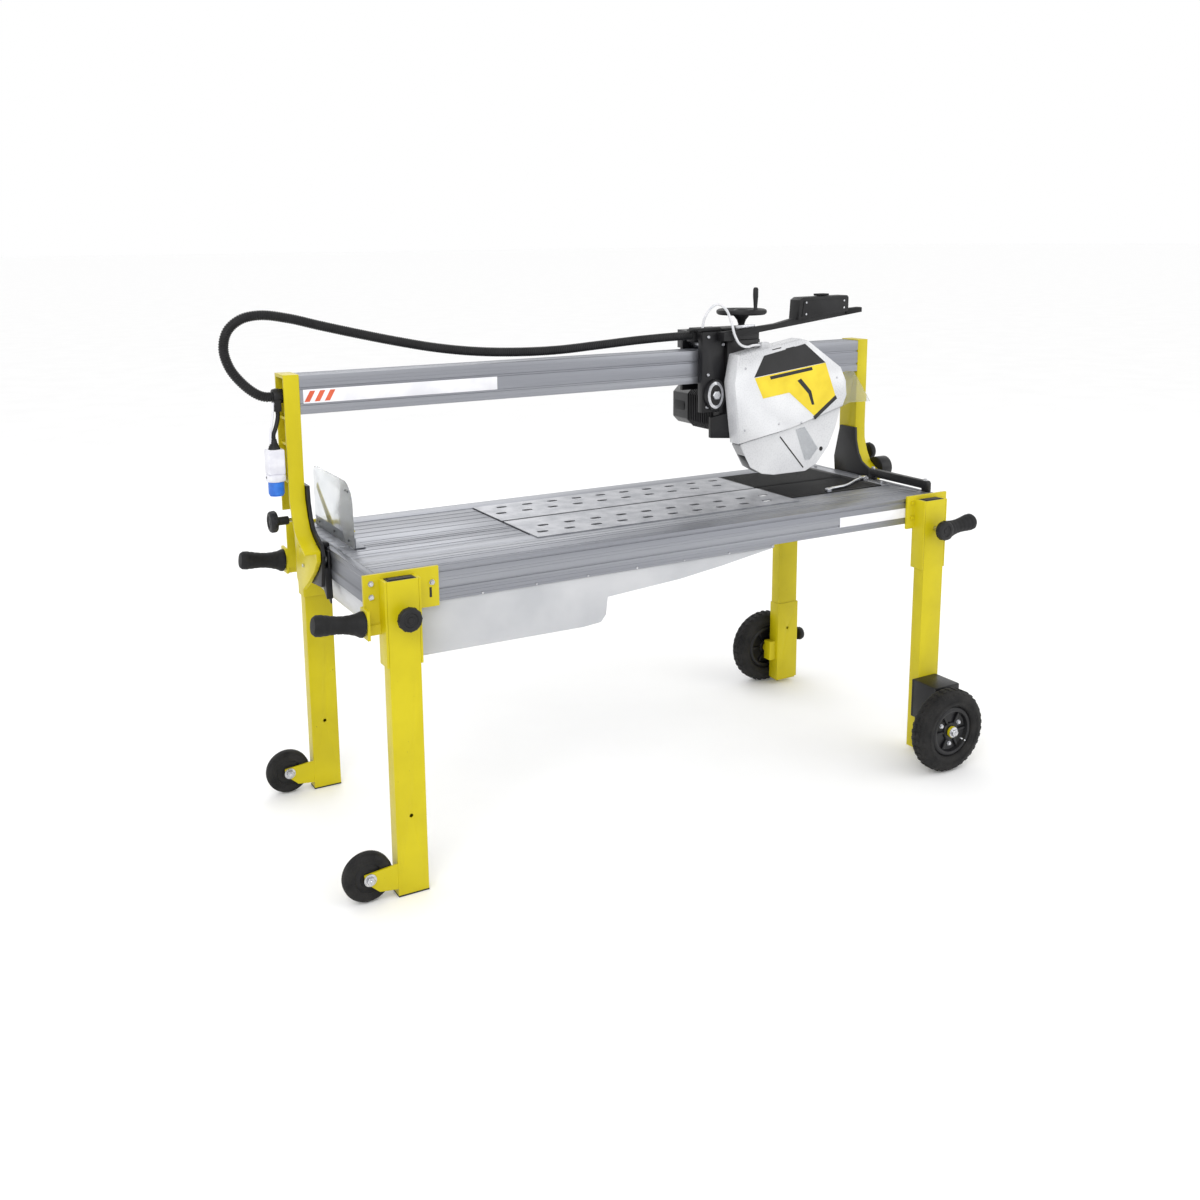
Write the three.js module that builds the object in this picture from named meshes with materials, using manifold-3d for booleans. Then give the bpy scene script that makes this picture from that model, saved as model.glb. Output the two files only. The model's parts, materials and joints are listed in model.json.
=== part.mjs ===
// Bridge tile cutter: a folding-leg table with a tilting rail that carries a wet-cutting head.
// Millimetres, +Z up. Positions below are in the table frame: X along the table from the outer face
// of the near left leg, Y back from the front of the near legs, Z up from the floor.
import * as THREE from 'three';
import { mergeVertices } from 'three/addons/utils/BufferGeometryUtils.js';
import Module from 'manifold-3d';

const wasm = await Module();
wasm.setup();

// ---- driving dimensions ----
const GAP = 0.3;                                   // running gap between neighbouring solids
const ORIGIN = { x: 869.2, y: 317 };             // middle of the footprint, under the table
const TABLE = { x0: -23, x1: 1801, y0: 50, y1: 682, top: 804, under: 726 };
const LEG = { width: 79, depth: 40, top: 800, index: 206 };
const SPAN = { x: 1699, y: 692 };                  // from the near left leg to the others
const SMALL_WHEEL = { r: 63, thick: 32, x: -71, z: 65 };
const BIG_WHEEL = { r: 127, rim: 76, thick: 60, x: 1692, near: -161, far: 735 };
const SLOT = { y: 406, half: 6, x1: 1726 }; // blade slot in the deck
const DECK = { top: 806, sheet: 3 };
const PLATES = { x0: 492, x1: 1370, front: 190, rear: 611 };
const BAY = { front: 240, rear: 609 };             // pads and end plate, between the rails
const BEAM = { x0: -48.7, x1: 1826.7, y0: 466, y1: 546, z0: 1142, z1: 1243 };
const COLUMN = { width: 41, top: 1246, web: 11 };
const PIVOT = { y: 406, z: 804, pin: 7 };          // tilt axis, in the blade plane at deck level
const LOCK = { y: 488, z: 863, stem: 5 };          // tilt clamp: fixed stem in a curved slot
const TILT = 45;
const BLADE = { x: 1481, z: 1030, r: 175, thick: 3 };
const GUARD = { y0: 372, y1: 423.4, wall: 3 };
const PLUNGE = 64;                                 // depth travel of the head
const CARRIAGE = { x0: 1188, x1: 1400, y0: 440, y1: 562, top: 1300 };
const ROLLER = { r: 14, xs: [1228, 1372] };
const MOTOR = { x: 1312, z: 1050, half: 60, y0: 440.5, y1: 700 };
const HANDWHEEL = { x: 1349, y: 464, z: 1350, r: 78, peg: 1432 };
const CONDUIT = { r: 13, y: 497 };
const LEAD = { r: 5.5 };

const COLOUR = {
  yellow: [0xe0d71e, 0.45, 0.1], aluminium: [0xacadb1, 0.38, 0.9], zinc: [0xb9bbc0, 0.4, 0.9],
  black: [0x161618, 0.6, 0.1], rubber: [0x1a1a1b, 0.85, 0], white: [0xe6e6e8, 0.4, 0],
  steel: [0xc4c6ca, 0.3, 1], clear: [0xd2d4d8, 0.25, 0], blue: [0x2a6fd0, 0.4, 0],
};

// ---- geometry helpers ----
function box(x0, x1, y0, y1, z0, z1) {
  const g = new THREE.BoxGeometry(x1 - x0, y1 - y0, z1 - z0);
  return g.translate((x0 + x1) / 2, (y0 + y1) / 2, (z0 + z1) / 2);
}

const AXES = {
  x: new THREE.Matrix4().makeBasis(new THREE.Vector3(0, 1, 0), new THREE.Vector3(0, 0, 1),
    new THREE.Vector3(1, 0, 0)),
  y: new THREE.Matrix4().makeBasis(new THREE.Vector3(1, 0, 0), new THREE.Vector3(0, 0, 1),
    new THREE.Vector3(0, -1, 0)),
  z: new THREE.Matrix4(),
};

// Outline (y,z), (x,z) or (x,y), swept along the named axis from low to high.
function prism(axis, outline, low, high, holes = []) {
  const shape = outline instanceof THREE.Shape ? outline
    : new THREE.Shape(outline.map(([u, v]) => new THREE.Vector2(u, v)));
  shape.holes.push(...holes);
  const g = new THREE.ExtrudeGeometry(shape, { depth: high - low, bevelEnabled: false, curveSegments: 10 });
  g.applyMatrix4(AXES[axis]);
  const shift = axis === 'y' ? high : low;
  return g.translate(axis === 'x' ? shift : 0, axis === 'y' ? shift : 0, axis === 'z' ? shift : 0);
}

function disc(u, v, r, sides = 24) {
  const path = new THREE.Path();
  for (let i = 0; i < sides; i++) {
    const a = 2 * Math.PI * i / sides;
    path[i ? 'lineTo' : 'moveTo'](u + r * Math.cos(a), v + r * Math.sin(a));
  }
  path.closePath();
  return path;
}

function round(axis, u, v, r, low, high, sides = 24) {
  return prism(axis, disc(u, v, r, sides).getPoints().slice(0, sides).map((p) => [p.x, p.y]), low, high);
}

// Profile of [radius, distance] turned about an axis through (a, b); distance runs along the axis.
function turned(axis, a, b, profile, sides = 24) {
  const g = new THREE.LatheGeometry(profile.map(([r, h]) => new THREE.Vector2(r, h)), sides);
  if (axis === 'z') g.rotateX(Math.PI / 2).translate(a, b, 0);
  if (axis === 'x') g.rotateZ(-Math.PI / 2).translate(0, a, b);
  if (axis === 'y') g.translate(a, 0, b);
  return g;
}

function tube(points, r, sides, steps) {
  const path = new THREE.CatmullRomCurve3(points.map((p) => new THREE.Vector3(...p)), false, 'centripetal');
  const ring = disc(0, 0, r, sides).getPoints().slice(0, sides).map((p) => p.clone());
  return new THREE.ExtrudeGeometry(new THREE.Shape(ring), { steps, extrudePath: path, bevelEnabled: false });
}

// ---- booleans ----
function solid(geometry) {
  const g = geometry.clone();
  g.deleteAttribute('normal');
  g.deleteAttribute('uv');
  const m = mergeVertices(g, 1e-3);
  return new wasm.Manifold(new wasm.Mesh({
    numProp: 3, vertProperties: Float32Array.from(m.attributes.position.array),
    triVerts: Uint32Array.from(m.index.array),
  }));
}

function geometry(manifold) {
  const m = manifold.getMesh();
  const g = new THREE.BufferGeometry();
  g.setAttribute('position', new THREE.BufferAttribute(Float32Array.from(m.vertProperties), 3));
  g.setIndex([...m.triVerts]);
  return g;
}

const join = (...parts) => geometry(parts.map(solid).reduce((a, b) => a.add(b)));
const cut = (body, ...tools) => geometry(tools.reduce((a, t) => a.subtract(solid(t)), solid(body)));

// Convex anticlockwise outline moved inwards by d.
function inset(points, d) {
  const n = points.length;
  const edge = (i) => {
    const [x0, y0] = points[i], [x1, y1] = points[(i + 1) % n];
    const l = Math.hypot(x1 - x0, y1 - y0);
    const nx = -(y1 - y0) / l, ny = (x1 - x0) / l;
    return { nx, ny, c: nx * x0 + ny * y0 + d };
  };
  return points.map((_, i) => {
    const a = edge((i + n - 1) % n), b = edge(i);
    const det = a.nx * b.ny - a.ny * b.nx;
    return [(a.c * b.ny - b.c * a.ny) / det, (a.nx * b.c - b.nx * a.c) / det];
  });
}

const root = new THREE.Group();
const table = new THREE.Group();
table.position.set(-ORIGIN.x, -ORIGIN.y, 0);
root.add(table);

function part(name, geo, colour) {
  const [hex, roughness, metalness] = COLOUR[colour];
  const mesh = new THREE.Mesh(geo, new THREE.MeshStandardMaterial({ color: hex, roughness, metalness }));
  mesh.name = name;
  table.add(mesh);
}

const mirrorX = (x) => LEG.width + SPAN.x - x;       // left side to right side
const mirrorY = (y) => LEG.depth + SPAN.y - y;       // near side to far side, turned round
const shiftY = (y) => SPAN.y + y;                     // near side to far side, same way round
const span = (a, b) => [Math.min(a, b), Math.max(a, b)];

// ---- table frame ----
const GROOVE = { wide: 4, deep: 3, low: 751, high: 793 };

function railOutline(at, lip) {
  const g = GROOVE, wall = 50, ledge = 14;
  const notch = (z) => [[0, z + g.wide / 2], [g.deep, z + g.wide / 2], [g.deep, z - g.wide / 2],
    [0, z - g.wide / 2]];
  const pts = [[0, TABLE.top], ...notch(g.high), ...notch(g.low), [0, TABLE.under],
    [wall, TABLE.under], [wall, TABLE.top - ledge], [lip, TABLE.top - ledge], [lip, TABLE.top]];
  return pts.map(([d, z]) => [at(d), z]);
}

function tableFrame() {
  const inX0 = TABLE.x0 + 20 + GAP, inX1 = TABLE.x1 - 20 - GAP;
  part('front_rail', prism('x', railOutline((d) => TABLE.y0 + d, 128), inX0, inX1), 'aluminium');
  part('rear_rail', prism('x', railOutline((d) => TABLE.y1 - d, TABLE.y1 - PLATES.rear - 2).reverse(), inX0, inX1), 'aluminium');
  const ends = { left_cross_member: (d) => TABLE.x0 + d, right_cross_member: (d) => TABLE.x1 - d };
  for (const [name, at] of Object.entries(ends)) {
    const g = GROOVE, thick = 20;
    const pts = [[0, TABLE.top], [0, g.high - 4], [g.deep, g.high - 8], [g.deep, g.low + 2], [0, g.low - 2],
      [0, TABLE.under], [thick, TABLE.under], [thick, TABLE.top]].map(([d, z]) => [at(d), z]);
    const outline = name.startsWith('left') ? pts : pts.reverse();
    part(name, prism('y', outline, TABLE.y0, TABLE.y1), 'aluminium');
  }
  const slat = (y0, y1, x0, x1) => prism('x', [[y0, 770], [y0 + 6, 770], [y0 + 6, 797], [y1 - 6, 797],
    [y1 - 6, 770], [y1, 770], [y1, 802.7], [y0, 802.7]], x0, x1);
  part('inner_slat', slat(179, 237, inX0, inX1), 'aluminium');
  const wide = cut(slat(239, PLATES.rear, inX0, PLATES.x0 - 3), box(inX0 - 5, PLATES.x0, 368.5, 371.5, 799, 810));
  part('left_deck', wide, 'aluminium');
}

// ---- slotted deck plates and black pads, left open along the blade slot ----
function deck() {
  const low = DECK.top - DECK.sheet, flange = 24;
  const slotFront = SLOT.y - SLOT.half, slotRear = SLOT.y + SLOT.half;
  const plate = (outer, inner, outerFlange) => {
    const s = Math.sign(inner - outer);
    const edge = outerFlange ? [[outer, low - flange], [outer + s * 3, low - flange], [outer + s * 3, low]]
      : [[outer, low]];
    const pts = [[outer, DECK.top], ...edge, [inner - s * 15, low], [inner - s * 15, low - flange], [inner - s * 12, low - flange],
      [inner - s * 12, low], [inner, low], [inner, DECK.top]];
    return prism('x', s > 0 ? pts : pts.reverse(), PLATES.x0, PLATES.x1);
  };
  part('front_deck_plate', plate(PLATES.front, slotFront, false), 'zinc');
  part('rear_deck_plate', plate(PLATES.rear, slotRear, true), 'zinc');
  const x0 = PLATES.x1 + 1, x1 = 1742, clear = 3;
  const pads = join(box(x0, x1, BAY.front, slotFront - clear, 795, 806),
    box(x0, x1, slotRear + clear, BAY.rear, 795, 806),
    box(SLOT.x1, x1, slotFront - clear - 1, slotRear + clear + 1, 795, 806));
  part('deck_pads', pads, 'rubber');
  part('end_plate', box(x1 + 1, TABLE.x1 - 21, BAY.front, BAY.rear, 797, 805), 'aluminium');
  const bar = prism('x', [[84, 804.3], [108, 804.3], [108, 813], [322, 813], [322, 804.3], [346, 804.3],
    [346, 838], [90, 838], [84, 832]], 1782, 1800);
  part('fence_bar', bar, 'black');
}

// ---- water tray: deep sump at the left, shallow channel to the right ----
const TRAY = { y0: 62, y1: 670, wall: 3, rim: 722 };
const TRAY_FLOOR = [[-2, 700], [12, 650], [48, 606], [110, 583], [560, 581], [612, 586], [626, 604],
  [632, 652], [860, 668], [1000, 686], [1180, 714]];

function tray() {
  const outer = [...TRAY_FLOOR, [1180, TRAY.rim], [-2, TRAY.rim]];
  const w = TRAY.wall;
  const floor = TRAY_FLOOR.slice(1, -1).map(([x, z], i, all) => [x + (i < 4 ? w : i > 4 ? -w : 0), z + w]);
  const inner = [[1, 702], ...floor, [1130, TRAY.rim + 5], [1, TRAY.rim + 5]];
  const shell = cut(prism('y', outer, TRAY.y0, TRAY.y1),
    prism('y', inner, TRAY.y0 + w, TRAY.y1 - w));
  const plug = [round('z', 400, 366, 13, 566, 583, 12), round('z', 400, 366, 21, 560, 568, 12)];
  part('water_tray', join(shell, ...plug), 'clear');
}

// ---- splash panel at the left end ----
function splashPanel() {
  const outline = [[322, 804.3], [652, 804.3], [652, 962], [636, 974], [372, 974], [330, 940]];
  part('splash_panel', prism('x', outline, 30, 33), 'clear');
}

// ---- legs, brackets, grips ----
const BRACKET = { top: 811, low: 589, wing: 38, wall: 5.5 };

// Welded bracket that holds a leg: a back plate with wings on the table rail, and two side walls.
function legBracket(name, mx, my, inner, tab) {
  const b = BRACKET;
  const at = (x0, x1, y0, y1, z0, z1) => box(...span(mx(x0), mx(x1)), ...span(my(y0), my(y1)), z0, z1);
  const yBack = LEG.depth + 1, yFace = TABLE.y0 - GAP;
  const left = -b.wall - 0.5, right = LEG.width + 0.5 + b.wall;
  const pieces = [
    at(left, right, yBack, yFace, b.low, b.top),
    at(left - b.wing, left + 1, yBack, yFace, 680, b.top),
    at(right - 1, right + inner, yBack, yFace, 711, b.top),
    at(left, -0.5, 0, yBack + 1, b.low, b.top - 11),
    at(LEG.width + 0.5, right, 0, yBack + 1, b.low, b.top - 11),
  ];
  if (tab) {
    pieces.push(at(left - b.wing - 6, left - b.wing + 1, 2, yFace, 664, 736));
    pieces.push(at(left - b.wing - 1, left + 1, yBack - 4, yBack + 1, 664, 690));
  }
  part(name, join(...pieces), 'yellow');
}

const GRIP = { z: 699, y: 27, length: 124, lean: 0.13 };

function liftGrip(name, dir, base, y) {
  const profile = [[0, 0], [31, 0], [32, 8], [25, 30], [21, 62], [23, 90], [26, 112], [23, GRIP.length],
    [0, GRIP.length]];
  const g = new THREE.LatheGeometry(profile.map(([r, h]) => new THREE.Vector2(r, h)), 16);
  g.rotateZ(dir * -Math.PI / 2);
  g.rotateY(dir * -GRIP.lean);
  part(name, g.translate(base, y, GRIP.z), 'rubber');
}

function clampKnob(name, axis, a, b, face, dir, r, stem, stemR) {
  const flutes = 8, depth = 24;
  const ring = [];
  for (let i = 0; i < flutes * 2; i++) {
    const t = Math.PI * i / flutes, rr = i % 2 ? r * 0.93 : r;
    ring.push([a + rr * Math.cos(t), b + rr * Math.sin(t)]);
  }
  const start = face + dir * stem;
  const head = prism(axis, ring, ...span(start, start + dir * depth));
  const bolt = round(axis, a, b, stemR, ...span(face, start + dir * 2), 12);
  part(name, join(head, bolt), 'rubber');
}

function leg(name, mx, my, foot, extras) {
  const x = span(mx(0), mx(LEG.width)), y = span(my(0), my(LEG.depth)), w = 3;
  const hole = round('y', (x[0] + x[1]) / 2, LEG.index, 5, y[0] - 5, y[1] + 5, 12);
  const bore = box(x[0] + w, x[1] - w, y[0] + w, y[1] - w, foot + 6, LEG.top + 5);
  part(name, cut(join(box(...x, ...y, foot, LEG.top), ...extras), hole, bore), 'yellow');
}

function smallWheel(tag, my) {
  const [y0, y1] = span(my(8), my(8 + SMALL_WHEEL.thick));
  const r = SMALL_WHEEL.r, c = 8;
  const ring = [[11.3, y0], [30, y0], [30, y0 + 4], [46, y0 + 4], [48, y0], [r - c, y0], [r, y0 + c],
    [r, y1 - c], [r - c, y1], [48, y1], [46, y1 - 4], [30, y1 - 4], [30, y1], [11.3, y1], [11.3, y0]];
  part('small_wheel_' + tag, turned('y', SMALL_WHEEL.x, SMALL_WHEEL.z, ring, 32), 'rubber');
}

// Yellow arm welded to a left leg, with the axle of its small wheel.
function wheelArm(my) {
  const [y0, y1] = span(my(1), my(7));
  const arm = prism('y', [[2, 22], [2, 88], [-20, 86], [-84, 79], [-84, 61], [-48, 28], [-20, 24]], y0, y1);
  const axle = round('y', SMALL_WHEEL.x, SMALL_WHEEL.z, 11, ...span(my(6), my(46)), 16);
  const washer = round('y', SMALL_WHEEL.x, SMALL_WHEEL.z, 17, ...span(my(41), my(46)), 16);
  return [arm, axle, washer];
}

function bigWheel(tag, y0) {
  const y1 = y0 + BIG_WHEEL.thick, x = BIG_WHEEL.x, z = BIG_WHEEL.r, r = BIG_WHEEL.r, rim = BIG_WHEEL.rim;
  const tyre = [[rim + 0.3, y0 + 10], [rim + 6, y0 + 2], [r - 20, y0], [r - 7, y0 + 6], [r, y0 + 18],
    [r, y1 - 18], [r - 7, y1 - 6], [r - 20, y1], [rim + 6, y1 - 2], [rim + 0.3, y1 - 10], [rim + 0.3, y0 + 10]];
  part('tyre_' + tag, turned('y', x, z, tyre, 40), 'rubber');
  const hub = [[11.3, y0 + 12], [26, y0 + 12], [28, y0 + 20], [60, y0 + 22], [63, y0 + 9], [rim, y0 + 8],
    [rim, y1 - 8], [63, y1 - 9], [60, y1 - 22], [28, y1 - 20], [26, y1 - 12], [11.3, y1 - 12], [11.3, y0 + 12]];
  part('wheel_rim_' + tag, turned('y', x, z, hub, 32), 'black');
}

// Axle of a big wheel with its spacer and end washer; out is +1 or -1 along Y, start is where it is welded.
function axle(y0, out, start) {
  const x = BIG_WHEEL.x, z = BIG_WHEEL.r;
  const [near, far] = out > 0 ? [y0, y0 + BIG_WHEEL.thick] : [y0 + BIG_WHEEL.thick, y0];
  return [round('y', x, z, 11, ...span(start, far - out * 4), 16),
    round('y', x, z, 17, ...span(far - out * 4, far - out * 11.7), 16),
    round('y', x, z, 17, ...span(start, near + out * 11.7), 16)];
}

function nearAxleBracket() {
  const x0 = 1673, x1 = 1768, yf = BIG_WHEEL.near + BIG_WHEEL.thick + 3;
  return [box(x0, x1, yf, yf + 6, 98, 246), box(x0, x0 + 6, yf, 1, 130, 246), box(x1 - 6, x1, yf, 1, 130, 246),
    box(x0, x1, -5, 1, 130, 246), ...axle(BIG_WHEEL.near, -1, yf + 5)];
}

function farAxleBracket() {
  const back = SPAN.y + LEG.depth;
  return [box(SPAN.x - 4, SPAN.x + LEG.width + 4, SPAN.y - 4, back + 1, 20, 300),
    box(1670, 1700, back - 32, back, 92, 160), ...axle(BIG_WHEEL.far, 1, back - 20)];
}

function supports() {
  const id = (v) => v;
  const corners = { near_left: [id, id], far_left: [id, mirrorY], near_right: [mirrorX, id],
    far_right: [mirrorX, mirrorY] };
  for (const [tag, [mx, my]] of Object.entries(corners)) {
    const isLeft = mx === id, dir = isLeft ? -1 : 1;
    const outward = my === id ? -1 : 1;
    legBracket('leg_bracket_' + tag, mx, my, isLeft ? 62 : 30, isLeft);
    liftGrip('lift_grip_' + tag, dir, isLeft ? -55 : 1788.8, my(isLeft ? GRIP.y : 8));
    clampKnob('leg_knob_' + tag, 'y', mx(LEG.width / 2), 714, my(-GAP), outward, 29, 25, 7);
  }
  leg('leg_near_left', id, id, 0, wheelArm(id));
  leg('leg_far_left', id, mirrorY, 0, wheelArm(shiftY));
  leg('leg_near_right', mirrorX, id, 14, nearAxleBracket());
  leg('leg_far_right', mirrorX, mirrorY, 14, farAxleBracket());
  const side = SPAN.x + LEG.width + 4 + GAP;
  clampKnob('foot_knob_far_right', 'x', SPAN.y + LEG.depth / 2, 167, side, 1, 22, 14, 7);
  smallWheel('near', id);
  smallWheel('far', shiftY);
  bigWheel('near', BIG_WHEEL.near);
  bigWheel('far', BIG_WHEEL.far);
}

// ---- bridge: columns on tilt pivots, and the beam ----
function arcSlot(yc, zc, r, from, to, half) {
  const steps = 8, pts = [];
  for (let i = 0; i <= steps; i++) {
    const a = from + (to - from) * i / steps;
    pts.push([yc + (r + half) * Math.cos(a), zc + (r + half) * Math.sin(a)]);
  }
  for (let i = steps; i >= 0; i--) {
    const a = from + (to - from) * i / steps;
    pts.push([yc + (r - half) * Math.cos(a), zc + (r - half) * Math.sin(a)]);
  }
  return pts;
}

function column(name, at) {
  const inner = BEAM.x0 - GAP;                       // face that the beam butts against
  const outer = inner - COLUMN.width, web = inner - COLUMN.web;
  const X = (a, b) => span(at(a), at(b));
  const outline = [[546, 690], [546, COLUMN.top], [466, COLUMN.top], [466, 960], [464, 917], [450, 876],
    [432, 843], [412, 828], [378, 812], [352, 802], [352, 775], [380, 745], [440, 700], [500, 664], [527, 668]];
  const pocket = [[473, 1237], [473, 960], [471, 914], [457, 872], [438, 837], [415, 821], [381, 805],
    [359, 796], [340, 796], [340, 700], [470, 600], [560, 600], [560, 880], [539, 880], [539, 1237]];
  const channel = cut(prism('x', outline, ...X(outer, inner)), prism('x', pocket, ...X(outer - 5, web)));
  const ribs = [1128, 1060, 960].map((z) => box(...X(outer + 6, web + 1), 472, 540, z, z + 7));
  const reach = Math.hypot(LOCK.y - PIVOT.y, LOCK.z - PIVOT.z);
  const start = Math.atan2(LOCK.z - PIVOT.z, LOCK.y - PIVOT.y);
  const slack = (LOCK.stem + 1.5) / reach;
  const slot = prism('x', arcSlot(PIVOT.y, PIVOT.z, reach, start - TILT * Math.PI / 180 - slack, start + slack,
    LOCK.stem + 1), ...X(web - 5, inner + 5));
  const pinHole = round('x', PIVOT.y, PIVOT.z, PIVOT.pin + 0.3, ...X(outer, inner + 5), 24);
  part(name, cut(join(channel, ...ribs), slot, pinHole), 'yellow');
}

// Black bracket on the table end: pivot pin, and the quadrant plate that carries the tilt clamp.
function pivotBracket(name, at, cap) {
  const face = TABLE.x0 - GAP, side = BEAM.x0 + 1.7, out = BEAM.x0 - GAP - COLUMN.width - 0.6;
  const X = (a, b) => span(at(a), at(b));
  const foot = prism('x', [[345, 676], [372, 700], [480, 690], [482, 760], [430, 767], [352, 756]], ...X(-40, face));
  const quadrant = prism('x', [[345, 790], [366, 704], [480, 692], [545, 740], [556, 845], [530, 955], [456, 955],
    [453, 912], [440, 872], [423, 846], [400, 834], [360, 818]], ...X(side, -38));
  const pin = round('x', PIVOT.y, PIVOT.z, PIVOT.pin, ...X(cap ? out : BEAM.x0 - 17, -38), 24);
  const head = cap ? round('x', 410, 822, 36, ...X(out - 42, out), 28)
    : round('x', PIVOT.y, PIVOT.z, 11, ...X(BEAM.x0 - 17, BEAM.x0 - 12), 12);
  part(name, join(foot, quadrant, pin, head), 'black');
}

function bridge() {
  const left = (x) => x, right = (x) => TABLE.x0 + TABLE.x1 - x;
  column('left_column', left);
  column('right_column', right);
  pivotBracket('left_pivot_bracket', left, false);
  pivotBracket('right_pivot_bracket', right, true);
  clampKnob('left_tilt_knob', 'x', LOCK.y, LOCK.z, BEAM.x0 + 1.4, -1, 28, 70, LOCK.stem);
  clampKnob('right_tilt_knob', 'x', LOCK.y, LOCK.z, right(BEAM.x0 + 1.4), 1, 28, 70, LOCK.stem);
  const b = BEAM, deep = 4, wide = 6;
  const notch = (z) => [[b.y0, z - wide / 2], [b.y0 + deep, z - wide / 2], [b.y0 + deep, z + wide / 2],
    [b.y0, z + wide / 2]].reverse();
  const outline = [[b.y0, b.z1], ...notch(1209), ...notch(1167), [b.y0, b.z0], [b.y1, b.z0], [b.y1, b.z1]];
  const bore = new THREE.Path([[b.y0 + 9, b.z0 + 6], [b.y1 - 6, b.z0 + 6], [b.y1 - 6, b.z1 - 6],
    [b.y0 + 9, b.z1 - 6]].map(([u, v]) => new THREE.Vector2(u, v)));
  part('beam', prism('x', outline, b.x0, b.x1, [bore]), 'aluminium');
}

// ---- carriage on the beam ----
function carriage() {
  const c = CARRIAGE, b = BEAM, low = 1113, leg = 1250;
  const z = b.z1 + GAP + ROLLER.r;
  const outline = [[c.x0, c.top], [c.x0, 1054], [leg, 1054], [leg, low], [c.x1, low], [c.x1, c.top]];
  const front = prism('y', outline, c.y0, b.y0 - 3);
  const rear = box(c.x0, c.x1, b.y1 + 3, c.y1, low, c.top);
  const top = box(c.x0, c.x1, c.y0, c.y1, 1274, c.top);
  const block = box(1196, 1330, c.y1 - 1, 590, 1244, c.top);
  const boss = new THREE.Shape();
  boss.absellipse(1229, 1108, 36, 48, 0, 2 * Math.PI);
  const axles = ROLLER.xs.map((x) => round('y', x, z, 5, c.y0 + 5, c.y1 - 3, 12));
  part('carriage', join(front, rear, top, block, prism('y', boss, 424, c.y0 + 0.2), ...axles), 'black');
  ROLLER.xs.forEach((x, i) => {
    const y0 = b.y0 - 2, y1 = b.y1 + 2;
    const ring = [[5.3, y0], [ROLLER.r, y0], [ROLLER.r, y1], [5.3, y1], [5.3, y0]];
    part(`roller_${i + 1}`, turned('y', x, z, ring, 16), 'steel');
  });
}

function handwheel() {
  const h = HANDWHEEL;
  const wheel = turned('z', h.x, h.y, [[0, CARRIAGE.top + GAP], [9, CARRIAGE.top + GAP], [9, 1325], [20, 1336],
    [24, h.z], [66, h.z + 2], [70, h.z - 2], [76, h.z], [h.r, h.z + 6], [76, h.z + 12], [70, h.z + 12],
    [66, h.z + 9], [0, h.z + 12]], 32);
  const peg = turned('z', h.x + 8, h.y - 60, [[0, h.z + 4], [7, h.z + 4], [5, h.z + 20], [8, h.z + 50],
    [8, h.peg - 4], [5, h.peg], [0, h.peg]], 12);
  part('handwheel', join(wheel, peg), 'black');
}

// ---- cutting head ----
const GUARD_OUTLINE = [[1283, 957], [1480, 990], [1688, 1046], [1704, 1080], [1700, 1128], [1676, 1174],
  [1545, 1262], [1515, 1270], [1275, 1232], [1258, 1146]];
const VISOR_OUTLINE = [[1288, 950], [1328, 880], [1372, 856], [1420, 848], [1545, 848], [1590, 868],
  [1636, 920], [1664, 980], [1682, 1040], [1680, 1056], [1480, 996], [1291, 970]];

function guard() {
  const g = GUARD, inner = inset(GUARD_OUTLINE, g.wall);
  const drop = inner.map(([x, z], i) => [x, i < 3 ? z - 12 : z]);
  const shell = cut(prism('y', GUARD_OUTLINE, g.y0, g.y1), prism('y', drop, g.y0 + g.wall, g.y1 - g.wall),
    round('y', BLADE.x, BLADE.z, 16, g.y1 - 10, g.y1 + 5, 24));
  part('blade_guard', join(shell, box(1372, 1400, 389, 407, 1246, 1264)), 'white');
}

function visor() {
  const y0 = GUARD.y0 + 3.5, y1 = GUARD.y1 - 3.5, w = 2.5;
  const inside = inset(VISOR_OUTLINE.slice(0, 9), w);
  const hollow = [...inside.slice(0, 9), [1690, 1090], [1270, 1090], [inside[0][0], 975]];
  const opening = box(1296, 1700, y0 + w, y1 - w, 830, 918);
  const rightSide = box(1600, 1700, y0 + w, y1 - w, 860, 986);
  const notch = box(BLADE.x - 36, BLADE.x + 36, y1 - 10, y1 + 5, 928, 1100);
  const shell = cut(prism('y', VISOR_OUTLINE, y0, y1), prism('y', hollow, y0 + w, y1 - w));
  part('lower_visor', cut(shell, opening, rightSide, notch), 'white');
}

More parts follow.
